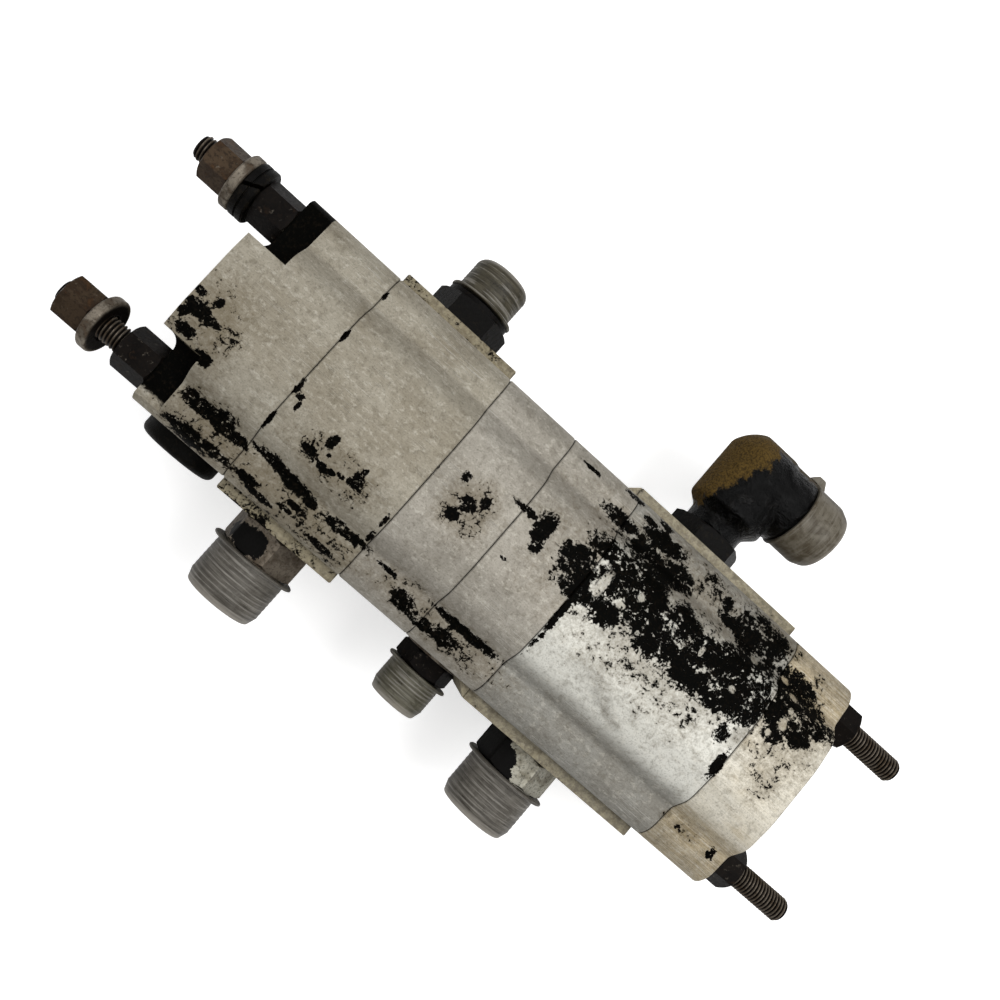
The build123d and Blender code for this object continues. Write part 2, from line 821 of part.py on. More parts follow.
washer_stack_front = shank_front - spring_washer_width
spring_place = shaft_place(washer_stack_front, stud_y, stud_z)
spring_ring = chamfered_ring(
    spring_place, washer_outer_radius, washer_hole_radius, spring_washer_width, washer_edge
)
slit_near = -spring_washer_width / 4
slit_far = spring_washer_width / 4
slit_half = spring_washer_slit / 2
with BuildPart() as spring_washer:
    add(spring_ring)
    with BuildSketch(spring_place.offset((spring_washer_width - spring_washer_groove) / 2)):
        Circle(washer_outer_radius)
        Circle(washer_outer_radius - spring_washer_groove, mode=Mode.SUBTRACT)
    extrude(amount=spring_washer_groove, mode=Mode.SUBTRACT)
    with BuildSketch(Plane((washer_stack_front, stud_y, stud_z), x_dir=(1, 0, 0), z_dir=(0, 0, 1))):
        with BuildLine():
            Polyline(
                (0, slit_near - slit_half), (spring_washer_width, slit_far - slit_half),
                (spring_washer_width, slit_far + slit_half), (0, slit_near + slit_half), close=True,
            )
        make_face()
    extrude(amount=washer_outer_radius, mode=Mode.SUBTRACT)
finish_piece(spring_washer.part, "spring_washer")

seated_washer_x = washer_stack_front - washer_thickness
finish_piece(
    chamfered_ring(
        shaft_place(seated_washer_x, stud_y, stud_z),
        washer_outer_radius, washer_hole_radius, washer_thickness, washer_edge,
    ),
    "seated_washer",
)

tilt = radians(loose_washer_tilt)
loose_direction = Vector(cos(tilt), 0, sin(tilt))
loose_centre = Vector(loose_washer_x, -stud_y, stud_z) - loose_direction * (washer_thickness / 2)
finish_piece(
    chamfered_ring(
        Plane(loose_centre, x_dir=(0, 1, 0), z_dir=loose_direction),
        washer_outer_radius, washer_hole_radius, washer_thickness, washer_edge,
    ),
    "loose_washer",
)

nut_corner_radius = nut_across_flats / 2 / cos(pi / 6)
loose_front_reach = washer_thickness / 2 * cos(tilt) + nut_corner_radius * sin(tilt)
loose_nut_x = loose_washer_x - loose_front_reach - loose_nut_gap - clamp_nut_height
seated_nut_x = seated_washer_x - clamp_nut_height
group_of(
    [
        nut(seated_nut_x, stud_y, stud_z, clamp_nut_height, seated_nut_turn, stud_radius),
        nut(loose_nut_x, -stud_y, stud_z, clamp_nut_height, loose_nut_turn, stud_radius),
    ],
    "front_clamp_nuts",
)


# Round plug and bleed screw in the sides of the front cover
plug_place = side_place(-1, side_plug_x)
with BuildPart() as side_plug:
    with BuildSketch(plug_place.offset(-side_plug_stem_length)):
        Circle(side_plug_stem_radius)
    extrude(amount=side_plug_stem_length)
    with BuildSketch(plug_place):
        Circle(side_plug_radius)
    extrude(amount=side_plug_proud)
    fillet(side_plug.faces().sort_by(Axis.Y)[0].outer_wire().edges(), side_plug_blend)
    with BuildSketch(plug_place.offset(side_plug_proud)):
        RegularPolygon(side_plug_key / 2, 6, major_radius=False)
    extrude(amount=-side_plug_key_depth, mode=Mode.SUBTRACT)
finish_piece(side_plug.part, "side_plug")

bleed_place = side_place(1, bleed_screw_x)
bleed_head = hexagon(bleed_place, bleed_screw_hex, bleed_screw_head, nut_chamfer)
with BuildPart() as bleed_screw:
    with BuildSketch(bleed_place.offset(-bleed_screw_stem_length)):
        Circle(bleed_screw_stem_radius)
    extrude(amount=bleed_screw_stem_length)
    add(bleed_head)
finish_piece(bleed_screw.part, "bleed_screw")


# Screwed port fittings and the dust caps over their threads
def adaptor(place, stem, hexagon_size, neck, thread, reach, bore, turn):
    """Straight port fitting. Stem and neck are radius and length, hexagon_size is flats and height."""
    stem_radius, stem_depth = stem
    flats, hex_height = hexagon_size
    neck_radius, neck_height = neck
    hex_end = sealing_washer_thickness + hex_height
    head = hexagon(place.offset(sealing_washer_thickness), flats, hex_height, hex_chamfer, turn=turn)
    with BuildPart() as piece:
        with BuildSketch(side_plane(place)):
            with BuildLine():
                Polyline(
                    (0, -stem_depth), (stem_radius - thread_chamfer, -stem_depth),
                    (stem_radius, thread_chamfer - stem_depth), (stem_radius, hex_end),
                    (neck_radius, hex_end), (neck_radius, hex_end + neck_height),
                    (thread, hex_end + neck_height), (thread, reach - thread_chamfer),
                    (thread - thread_chamfer, reach), (0, reach), close=True,
                )
            make_face()
        revolve(axis=Axis(place.origin, place.z_dir))
        add(head)
        with BuildSketch(place.offset(-stem_depth)):
            Circle(bore)
        extrude(amount=stem_depth + reach, mode=Mode.SUBTRACT)
        with BuildSketch(side_plane(place)):
            with BuildLine():
                Polyline(
                    (0, reach), (bore + seat_cone_growth, reach), (bore, reach - seat_cone_depth),
                    (0, reach - seat_cone_depth), close=True,
                )
            make_face()
        revolve(axis=Axis(place.origin, place.z_dir), mode=Mode.SUBTRACT)
    return piece.part


def dust_cap(place, reach, thread, wall_radius, lip_radius, taper, end_radius, blend):
    """Cup pushed over a male thread. The place is at its mouth, and the thread ends at reach from there."""
    inner = thread + cap_slide_clearance
    length = reach - thread_chamfer + taper
    inner_end = inner + end_radius - wall_radius
    with BuildPart() as cap:
        with BuildSketch(side_plane(place)):
            with BuildLine():
                FilletPolyline(
                    (inner, 0), (lip_radius, 0), (lip_radius, lip_thickness), (wall_radius, lip_thickness),
                    (wall_radius, length - taper), (end_radius, length), (0, length),
                    radius=(lip_blend, lip_blend, lip_blend / 2, blend, blend),
                )
                Polyline(
                    (0, length), (0, length - cap_end_wall), (inner_end, length - cap_end_wall),
                    (inner, length - taper), (inner, 0),
                )
            make_face()
        revolve(axis=Axis(place.origin, place.z_dir))
    return cap.part


suction_sizes = (
    (suction_stem_radius, suction_stem_depth), (suction_flats, suction_hex_height),
    (suction_neck_radius, suction_neck_height), suction_thread_radius, suction_reach,
    suction_bore_radius,
)
delivery_sizes = (
    (delivery_stem_radius, delivery_stem_depth), (delivery_flats, delivery_hex_height),
    (delivery_neck_radius, delivery_neck_height), delivery_thread_radius, delivery_reach,
    delivery_bore_radius,
)
drain_sizes = (
    (drain_stem_radius, drain_stem_depth), (drain_flats, drain_hex_height),
    (drain_neck_radius, drain_neck_height), drain_thread_radius, drain_reach, drain_bore_radius,
)
suction_cap = (suction_cap_radius, suction_cap_lip, suction_cap_taper, suction_cap_end, suction_cap_blend)
delivery_cap = (
    delivery_cap_radius, delivery_cap_lip, delivery_cap_taper, delivery_cap_end, delivery_cap_blend
)
drain_cap = (drain_cap_radius, drain_cap_lip, drain_cap_taper, drain_cap_end, drain_cap_blend)
suction_mouth = sealing_washer_thickness + suction_hex_height + suction_cap_gap
delivery_mouth = sealing_washer_thickness + delivery_hex_height + delivery_neck_height + delivery_cap_gap
drain_mouth = sealing_washer_thickness + drain_hex_height + drain_cap_gap

front_suction_place = side_place(-1, front_port_x, pad_proud)
rear_suction_place = side_place(-1, rear_port_x, pad_proud)
front_delivery_place = side_place(1, front_port_x, pad_proud)
rear_delivery_place = side_place(1, rear_port_x, pad_proud)
drain_place = side_place(-1, small_port_x, small_boss_proud)

sealing_washers = []


def add_sealing_washer(place, stem_radius, flats):
    """Sealing washer under one fitting."""
    outer = flats / 2 + sealing_washer_overhang
    inner = stem_radius + sealing_washer_clearance
    sealing_washers.append(ring(place, outer, inner, sealing_washer_thickness))


for name, place, sizes, turn, mouth, cap in (
    ("front_suction", front_suction_place, suction_sizes, suction_turn, suction_mouth, suction_cap),
    ("rear_suction", rear_suction_place, suction_sizes, suction_turn, suction_mouth, suction_cap),
    ("front_delivery", front_delivery_place, delivery_sizes, delivery_turn, delivery_mouth, delivery_cap),
    ("drain", drain_place, drain_sizes, drain_turn, drain_mouth, drain_cap),
):
    finish_piece(adaptor(place, *sizes, turn), name + "_fitting")
    stem, hexagon_size, neck, thread, reach, bore = sizes
    finish_piece(dust_cap(place.offset(mouth), reach - mouth, thread, *cap), name + "_cap")
    add_sealing_washer(place, stem[0], hexagon_size[0])


# Elbow of the rear delivery port, with its lock nut and cap
elbow_nut_end = sealing_washer_thickness + elbow_nut_height
elbow_corner = rear_delivery_place.offset(elbow_axis_height).origin
elbow_outlet = Plane(elbow_corner, x_dir=(0, 1, 0), z_dir=(1, 0, 0))
elbow_thread_end = elbow_leg_length + elbow_thread_length

with BuildPart() as elbow_knuckle:
    with BuildSketch(rear_delivery_place.offset(elbow_axis_height - elbow_knuckle_radius)):
        Circle(elbow_stem_radius)
    extrude(amount=2 * elbow_knuckle_radius)
    with BuildSketch(elbow_outlet.offset(-elbow_stem_radius)):
        Circle(elbow_knuckle_radius)
    extrude(amount=2 * elbow_stem_radius, mode=Mode.INTERSECT)
    with Locations(elbow_corner):
        Sphere(elbow_corner_radius, mode=Mode.INTERSECT)

with BuildPart() as elbow:
    add(elbow_knuckle.part)
    with BuildSketch(side_plane(rear_delivery_place)):
        with BuildLine():
            Polyline(
                (0, -delivery_stem_depth), (delivery_stem_radius - thread_chamfer, -delivery_stem_depth),
                (delivery_stem_radius, thread_chamfer - delivery_stem_depth),
                (delivery_stem_radius, elbow_nut_end), (elbow_neck_radius, elbow_nut_end),
                (elbow_neck_radius, elbow_flare_start),
                (elbow_stem_radius, elbow_flare_start + elbow_flare_height),
                (elbow_stem_radius, elbow_axis_height), (0, elbow_axis_height), close=True,
            )
        make_face()
    revolve(axis=Axis(rear_delivery_place.origin, rear_delivery_place.z_dir))
    with BuildSketch(side_plane(elbow_outlet)):
        with BuildLine():
            Polyline(
                (0, 0), (elbow_leg_radius, 0), (elbow_leg_radius, elbow_leg_length - elbow_edge),
                (elbow_leg_radius - elbow_edge, elbow_leg_length), (suction_thread_radius, elbow_leg_length),
                (suction_thread_radius, elbow_thread_end - thread_chamfer),
                (suction_thread_radius - thread_chamfer, elbow_thread_end), (0, elbow_thread_end), close=True,
            )
        make_face()
    revolve(axis=Axis(elbow_outlet.origin, elbow_outlet.z_dir))
    with BuildSketch(rear_delivery_place.offset(-delivery_stem_depth)):
        Circle(delivery_bore_radius)
    extrude(amount=delivery_stem_depth + elbow_axis_height, mode=Mode.SUBTRACT)
    with BuildSketch(elbow_outlet.offset(-delivery_bore_radius)):
        Circle(elbow_bore_radius)
    extrude(amount=delivery_bore_radius + elbow_thread_end, mode=Mode.SUBTRACT)
finish_piece(elbow.part, "elbow")

finish_piece(
    hexagon(
        rear_delivery_place.offset(sealing_washer_thickness), delivery_flats, elbow_nut_height, hex_chamfer,
        bore=delivery_stem_radius,
    ),
    "elbow_lock_nut",
)
add_sealing_washer(rear_delivery_place, delivery_stem_radius, delivery_flats)
group_of(sealing_washers, "sealing_washers")

elbow_mouth = elbow_leg_length + elbow_cap_gap
elbow_cup = dust_cap(
    elbow_outlet.offset(elbow_mouth), elbow_thread_end - elbow_mouth, suction_thread_radius,
    elbow_cap_radius, elbow_cap_lip, elbow_cap_taper, elbow_cap_end, elbow_cap_blend,
)
tab_inner = elbow_leg_radius + cap_tab_clearance
tab_outer = tab_inner + cap_tab_height
tab_root = (suction_thread_radius + cap_slide_clearance + elbow_cap_radius) / 2
tab_end = elbow_mouth + cap_tab_overlap
tab_start = tab_end - cap_tab_length
with BuildPart() as elbow_cap:
    add(elbow_cup)
    with BuildSketch(side_plane(elbow_outlet)):
        with BuildLine():
            FilletPolyline(
                (tab_inner, tab_start), (tab_outer, tab_start + cap_tab_slope),
                (tab_outer, tab_end - cap_tab_slope), (tab_root, tab_end), radius=cap_tab_blend,
            )
            Polyline(
                (tab_root, tab_end), (tab_root, elbow_mouth), (tab_inner, elbow_mouth), (tab_inner, tab_start)
            )
        make_face()
    extrude(amount=cap_tab_thickness / 2, both=True)
finish_piece(elbow_cap.part, "elbow_cap")
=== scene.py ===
"""Look of the tandem gear pump: worn blocks, threads, forged elbow, cloudy caps, light and camera.

Sizes here are in millimetres and turned into metres where a mesh is made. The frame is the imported
model's: +X from the drive end to the rear, +Y to the delivery side, +Z up.
"""

from math import atan2, ceil, cos, pi, radians, sin, tan, tau

import bmesh
import bpy
from mathutils import Euler, Matrix, Vector


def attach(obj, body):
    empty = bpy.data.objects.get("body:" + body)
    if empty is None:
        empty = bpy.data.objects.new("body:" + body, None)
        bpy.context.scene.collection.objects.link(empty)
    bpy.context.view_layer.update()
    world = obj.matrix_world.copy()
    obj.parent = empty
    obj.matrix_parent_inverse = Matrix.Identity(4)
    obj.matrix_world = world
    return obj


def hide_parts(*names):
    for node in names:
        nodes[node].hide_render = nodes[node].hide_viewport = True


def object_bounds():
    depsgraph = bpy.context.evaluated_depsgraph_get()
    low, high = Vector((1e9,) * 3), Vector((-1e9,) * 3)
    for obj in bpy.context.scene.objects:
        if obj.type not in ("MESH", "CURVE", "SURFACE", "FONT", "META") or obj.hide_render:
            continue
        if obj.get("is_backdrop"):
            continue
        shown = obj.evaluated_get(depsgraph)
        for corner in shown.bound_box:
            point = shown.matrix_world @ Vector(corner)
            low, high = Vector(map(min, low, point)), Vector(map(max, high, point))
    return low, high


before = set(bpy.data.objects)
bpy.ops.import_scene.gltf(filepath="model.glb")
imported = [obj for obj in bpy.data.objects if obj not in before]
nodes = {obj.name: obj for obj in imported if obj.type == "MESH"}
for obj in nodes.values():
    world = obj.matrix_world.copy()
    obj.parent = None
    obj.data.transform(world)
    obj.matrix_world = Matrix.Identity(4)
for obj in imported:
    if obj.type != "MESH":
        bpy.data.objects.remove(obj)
cad_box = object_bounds()

MM = 0.001
THIRD = pi / 3

# Stations of the joints between the blocks, and heights of the seats of the fittings
JOINTS = (46.5, 100.5, 133.0, 166.0, 250.0)
PAD_FACE = 52.6
DRAIN_FACE = 49.0
FRONT_PORT_X = 73.5
REAR_PORT_X = 208.0
DRAIN_PORT_X = 152.5
ELBOW_Y = 95.0
STUD_Y = 35.0
STUD_Z = 39.0
SHANK = (-8.8, 290.0)


# Meshes

def srgb(red, green, blue):
    """Linear colour of a colour written in eight-bit display values."""
    return tuple(((c / 255 + 0.055) / 1.055) ** 2.4 if c > 10 else c / 255 / 12.92 for c in (red, green, blue))


def place(origin, axis, across=(1, 0, 0)):
    """Matrix whose Z runs along the axis of a turned piece and whose X points across it, in millimetres."""
    z_axis = Vector(axis)
    x_axis = Vector(across)
    matrix = Matrix((x_axis, z_axis.cross(x_axis), z_axis)).transposed().to_4x4()
    matrix.translation = Vector(origin)
    return matrix


def finish_mesh(name, mesh, sharp=32):
    """Object of a mesh with smooth faces and sharp edges past an angle."""
    mesh.polygons.foreach_set("use_smooth", [True] * len(mesh.polygons))
    mesh.set_sharp_from_angle(angle=radians(sharp))
    piece = bpy.data.objects.new(name, mesh)
    bpy.context.scene.collection.objects.link(piece)
    return piece


def turned(name, matrix, rings, sides=96, closed=False, sharp=32):
    """Piece of revolution. A ring is radius and height, or a function of the angle that gives both."""
    vertices = []
    for ring in rings:
        for step in range(sides):
            angle = tau * step / sides
            radius, height = ring(angle) if callable(ring) else ring
            vertices.append((matrix @ Vector((radius * cos(angle), radius * sin(angle), height))) * MM)
    last = len(rings) if closed else len(rings) - 1
    faces = []
    for row in range(last):
        near = row * sides
        far = (row + 1) % len(rings) * sides
        for step in range(sides):
            after = (step + 1) % sides
            faces.append((near + step, near + after, far + after, far + step))
    if not closed:
        faces.append(tuple(range(sides))[::-1])
        faces.append(tuple(range(last * sides, (last + 1) * sides)))
    mesh = bpy.data.meshes.new(name)
    mesh.from_pydata(vertices, [], faces)
    mesh.validate()
    return finish_mesh(name, mesh, sharp)


def hexagon_rings(flats, start, end, edge, turn):
    """Rings of a hexagon whose corners are turned off by a cone at both ends."""
    corner = flats / 2 / cos(pi / 6)
    slope = 0.577

    def at(base, direction, side_edge):
        def ring(angle):
            off = (angle - radians(turn)) % THIRD - THIRD / 2
            side = flats / 2 / cos(off)
            drop = max(0.0, (side - corner + edge) * slope)
            if side_edge:
                return side, base + direction * drop
            return min(side, corner - edge), base
        return ring

    return [at(start, 1, False), at(start, 1, True), at(end, -1, True), at(end, -1, False)]


def thread_rings(radius, start, end, pitch, depth, chamfer):
    """Rings of a right-hand thread that starts and ends with a chamfer."""
    count = ceil((end - start) / pitch * 10)
    rings = []
    for step in range(count + 1):
        height = start + (end - start) * step / count
        limit = radius - chamfer + min(height - start, end - height)

        def ring(angle, height=height, limit=limit):
            phase = (height / pitch - angle / tau) % 1.0
            rise = min(max((1 - abs(2 * phase - 1)) * 1.5 - 0.25, 0.0), 1.0)
            return min(radius - depth + depth * rise, max(limit, radius - depth)), height

        rings.append(ring)
    return rings


def joined(name, *pieces):
    """One object from several."""
    together = bmesh.new()
    for piece in pieces:
        together.from_mesh(piece.data)
    mesh = bpy.data.meshes.new(name)
    together.to_mesh(mesh)
    together.free()
    for piece in pieces:
        bpy.data.objects.remove(piece)
    return finish_mesh(name, mesh)


def dressed(node, bevel=0.35, sharp=28, name=None):
    """Copy of a CAD node with its seams closed and its edges worn round, standing for the node."""
    source = bmesh.new()
    source.from_mesh(nodes[node].data)
    bmesh.ops.remove_doubles(source, verts=source.verts, dist=0.002 * MM)
    bmesh.ops.dissolve_limit(
        source, angle_limit=radians(0.4), verts=source.verts, edges=source.edges, use_dissolve_boundaries=False
    )
    mesh = bpy.data.meshes.new(name or node + "_look")
    source.to_mesh(mesh)
    source.free()
    piece = finish_mesh(name or node + "_look", mesh, sharp)
    if bevel:
        rounding = piece.modifiers.new("worn edges", "BEVEL")
        rounding.width = bevel * MM
        rounding.segments = 3
        rounding.limit_method = "ANGLE"
        rounding.angle_limit = radians(sharp)
        rounding.use_clamp_overlap = True
        rounding.harden_normals = True
    return piece


def keep(piece, body, material, slot, *replaced):
    """Give a piece its material and its body, and let it stand for CAD nodes. The slot argument is not used."""
    piece.data.materials.clear()
    piece.data.materials.append(material)
    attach(piece, body)
    if replaced:
        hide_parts(*replaced)
    return piece


# Materials

class Paint:
    """Small helper that builds the node tree of one material."""

    def __init__(self, name):
        self.material = bpy.data.materials.new(name)
        self.material.use_nodes = True
        self.tree = self.material.node_tree
        self.shader = self.tree.nodes["Principled BSDF"]
        coordinates = self.tree.nodes.new("ShaderNodeTexCoord")
        scale = self.node("ShaderNodeVectorMath", operation="SCALE")
        scale.inputs["Scale"].default_value = 1 / MM
        self.link(coordinates.outputs["Object"], scale.inputs[0])
        self.place = scale.outputs[0]
        self.bumps = None

    def node(self, kind, **settings):
        """New node with some of its settings."""
        new = self.tree.nodes.new(kind)
        for key, value in settings.items():
            setattr(new, key, value)
        return new

    def link(self, source, target):
        """Link, or set a plain value."""
        if isinstance(source, bpy.types.NodeSocket):
            self.tree.links.new(source, target)
        elif source is not None:
            target.default_value = source

    def sums(self, operation, first, second=None, third=None, clamp=False):
        """Math node."""
        node = self.node("ShaderNodeMath", operation=operation, use_clamp=clamp)
        for value, socket in zip((first, second, third), node.inputs):
            self.link(value, socket)
        return node.outputs[0]

    def stretch(self, scale, turn=0.0, shift=(0, 0, 0)):
        """Place scaled along each axis after a turn about Z."""
        node = self.node("ShaderNodeMapping")
        node.inputs["Scale"].default_value = scale
        node.inputs["Rotation"].default_value = (0, 0, radians(turn))
        node.inputs["Location"].default_value = shift
        self.link(self.place, node.inputs["Vector"])
        return node.outputs[0]

    def noise(self, scale=1.0, detail=3.0, rough=0.55, where=None, twist=0.0):
        """Noise of one scale per millimetre."""
        node = self.node("ShaderNodeTexNoise")
        node.inputs["Scale"].default_value = scale
        node.inputs["Detail"].default_value = detail
        node.inputs["Roughness"].default_value = rough
        node.inputs["Distortion"].default_value = twist
        self.link(where or self.place, node.inputs["Vector"])
        return node.outputs[0]

    def step(self, value, low, high):
        """Smooth step of a value between two limits."""
        node = self.node("ShaderNodeMapRange", interpolation_type="SMOOTHSTEP")
        node.inputs["From Min"].default_value = low
        node.inputs["From Max"].default_value = high
        self.link(value, node.inputs["Value"])
        return node.outputs[0]

    def mix(self, share, first, second):
        """Colour between two colours."""
        node = self.node("ShaderNodeMix", data_type="RGBA")
        self.link(share, node.inputs["Factor"])
        for value, socket in ((first, node.inputs["A"]), (second, node.inputs["B"])):
            self.link(value if isinstance(value, bpy.types.NodeSocket) else (*value, 1.0), socket)
        return node.outputs["Result"]

    def between(self, share, first, second):
        """Number between two numbers."""
        node = self.node("ShaderNodeMix", data_type="FLOAT")
        self.link(share, node.inputs["Factor"])
        self.link(first, node.inputs["A"])
        self.link(second, node.inputs["B"])
        return node.outputs["Result"]

    def bump(self, height, distance, strength=1.0):
        """Bump of some height in millimetres, on top of the bumps so far."""
        node = self.node("ShaderNodeBump")
        node.inputs["Strength"].default_value = strength
        node.inputs["Distance"].default_value = distance * MM
        self.link(height, node.inputs["Height"])
        if self.bumps is not None:
            self.link(self.bumps, node.inputs["Normal"])
        self.bumps = node.outputs[0]

    def done(self, color, roughness, metallic):
        """Wire the results to the shader."""
        self.link(color if isinstance(color, bpy.types.NodeSocket) else (*color, 1.0), self.shader.inputs["Base Color"])
        self.link(roughness, self.shader.inputs["Roughness"])
        self.link(metallic, self.shader.inputs["Metallic"])
        if self.bumps is not None:
            self.link(self.bumps, self.shader.inputs["Normal"])
        return self.material


# Oil stains on the upper face: centre and half sizes, in millimetres
STAINS = (
    (163.5, 35.3, 9, 2.6), (184, 40, 9.5, 3.4), (195, 33.7, 8, 5.2), (183, 29.8, 12.5, 6.2), (169, 23, 11.5, 4.6),
    (161, 11.4, 8.8, 7.3), (165.6, 3.9, 9.3, 4), (175.7, 17, 8.6, 9.2), (179, 5, 6.2, 6), (188.6, 17.2, 10, 10.6),
    (201.5, 12.9, 10, 10.1), (204.5, 22.9, 8, 6), (217.4, 10.4, 9.2, 8.2), (219.5, 19.6, 9.2, 5.2), (230, 20.7, 11, 9.8),
    (230.6, 10.6, 10, 6.6), (233, 36.8, 10.8, 8.4), (242, 21, 6, 15.8), (225.5, 34.5, 10.8, 2.6), (242, 0.7, 2.8, 4.6),
    (216.8, 39, 2.7, 2.6), (245, 17, 4.6, 8), (248.4, -9, 1.9, 6.4), (230.5, 42.2, 8.3, 3.4), (240, 38.9, 7.6, 5.8),
    (116.9, 1.1, 2.9, 3.2), (115.2, -4.8, 2.8, 2.3), (110.3, 8.1, 1.7, 1.9), (121.6, 5.6, 2, 2), (134.1, 13.7, 4.8, 1.4),
    (142.9, 12.5, 3.7, 5.3), (144.7, 6.8, 2.4, 2.9), (139, -4.6, 1.3, 0.8), (147.4, -33.1, 16, 1.7), (111.5, -34.2, 4.5, 1),
    (123.2, -39.1, 5.4, 3.8), (133.3, -40.9, 9, 2.4), (142.1, -39.6, 6.4, 3.1), (144.2, 42.5, 4.5, 0.8), (164, 45.7, 4.2, 1.2),
    (180.2, 45.7, 3.2, 1.5), (173.9, 42.7, 3.7, 1.1), (167.2, -7, 1.2, 14),
    (1.7, -4.7, 2.4, 1.6), (9.1, -3.2, 1.8, 1.7), (5.3, -9.5, 4.8, 3), (11.7, -10.2, 3.6, 1.9), (1.9, -13.4, 1.7, 2.2),
    (7, -17.8, 4.7, 2.2), (16.6, -21.4, 3.2, 2.2), (46.9, 37.6, 0.8, 2.3), (46.9, 16.6, 0.8, 2.9), (47, -7.8, 1, 3.3),
    (49.7, -9.1, 1.6, 1.3), (50.9, -12.2, 0.8, 1.8), (46.8, -22, 0.8, 3.3), (67.8, -13.9, 2, 2.6), (69.9, -17.6, 1, 1.2),
    (63.9, -20.6, 3.2, 1.5), (69.6, -22.3, 3.9, 1.6), (74.2, -21.6, 2, 1), (77.7, -20.4, 1.8, 1), (82.8, -17.8, 2.3, 2.6),
    (83.1, -14.4, 1.1, 2.1), (82.4, -19.6, 3.5, 1.5), (99, -21.8, 1, 3.2), (99.1, -28.6, 1, 2.4),
    (25.7, -33.6, 7.8, 2.7), (35.3, -33, 5.2, 3.5), (42.2, -34.1, 4.2, 2), (27.7, -44.5, 9.2, 2.8), (39.7, -43.3, 6.5, 2),
    (56.8, -31.8, 8, 1.9), (66.3, -33.1, 6.8, 2.3), (90.8, -34, 9.4, 2.1), (75.8, -34.1, 3.2, 1.9), (53.5, -42.4, 4.5, 1.7),
    (60.9, -44.5, 6.1, 1.3), (70.3, -41.9, 3, 1.1), (72, -38.9, 2.6, 1.2), (88.7, -43.9, 6.5, 1.5),
    (257.7, 34.6, 9.8, 3.8), (269.5, 26.5, 8.3, 5.2), (257.6, 28.7, 9, 4.5), (257.2, 13.5, 4.7, 4.2), (264.7, 18.7, 6.7, 4.5),
    (253.2, 19.6, 3.8, 6.2), (273.4, -35.1, 1.8, 2.6),
)
# Clean places inside the stains
ISLANDS = (
    (172.2, 12.5, 2.2, 5.6), (186.4, 17.9, 1.7, 1.9), (181.7, 10.8, 2.4, 1.5), (216.7, 17.9, 1.1, 2), (234.4, 15, 1.6, 1.3),
    (213.4, 29, 9.2, 3.7), (206, 38.8, 7.4, 2.8), (252.7, 31.8, 1.9, 1.1), (257.6, 28.5, 2.2, 1.1), (258.6, 17.6, 1.9, 2.6),
    (255.5, 12, 1.4, 1.4), (236.7, 29.6, 1.9, 1.4),
)
# Rows and clusters of specks on the upper face
SPECKS = (
    (267, -2, 5.5, 7.5), (263, 20, 14, 20), (30, -39, 17, 9), (65, -40, 24, 8), (92, -42, 10, 5), (126, -37, 16, 6),
    (260.8, -35.1, 5.5, 2.6), (250.5, -34.7, 1.6, 1.4), (203, 18, 44, 26), (8, -12, 13, 14), (75, -19, 16, 7),
    (118, 0, 9, 10), (146, -38, 22, 6), (240, 44, 14, 6),
)


def stain_field(paint, spots, near, far):
    """How deep a place lies in the nearest round spot between two stations, from 0 at the rims to 1."""
    field = None
    for x, y, half_x, half_y in spots:
        if x + 2 * half_x < near or x - 2 * half_x > far:
            continue
        moved = paint.node("ShaderNodeVectorMath", operation="MULTIPLY_ADD")
        moved.inputs[1].default_value = (1 / half_x, 1 / half_y, 0)
        moved.inputs[2].default_value = (-x / half_x, -y / half_y, 0)
        paint.link(paint.place, moved.inputs[0])
        length = paint.node("ShaderNodeVectorMath", operation="LENGTH")
        paint.link(moved.outputs[0], length.inputs[0])
        rim = paint.sums("MULTIPLY", length.outputs["Value"], 0.9)
        field = rim if field is None else paint.sums("MINIMUM", field, rim)
    return paint.sums("SUBTRACT", 1.0, 9.0 if field is None else field)


def soaked(paint, field, edge, depth, low, high):
    """Ragged patch where a field of spots and a rough noise together pass a limit."""
    deep = paint.sums("MULTIPLY", paint.sums("MINIMUM", field, depth), 1.5)
    return paint.step(paint.sums("ADD", deep, edge), low, high)


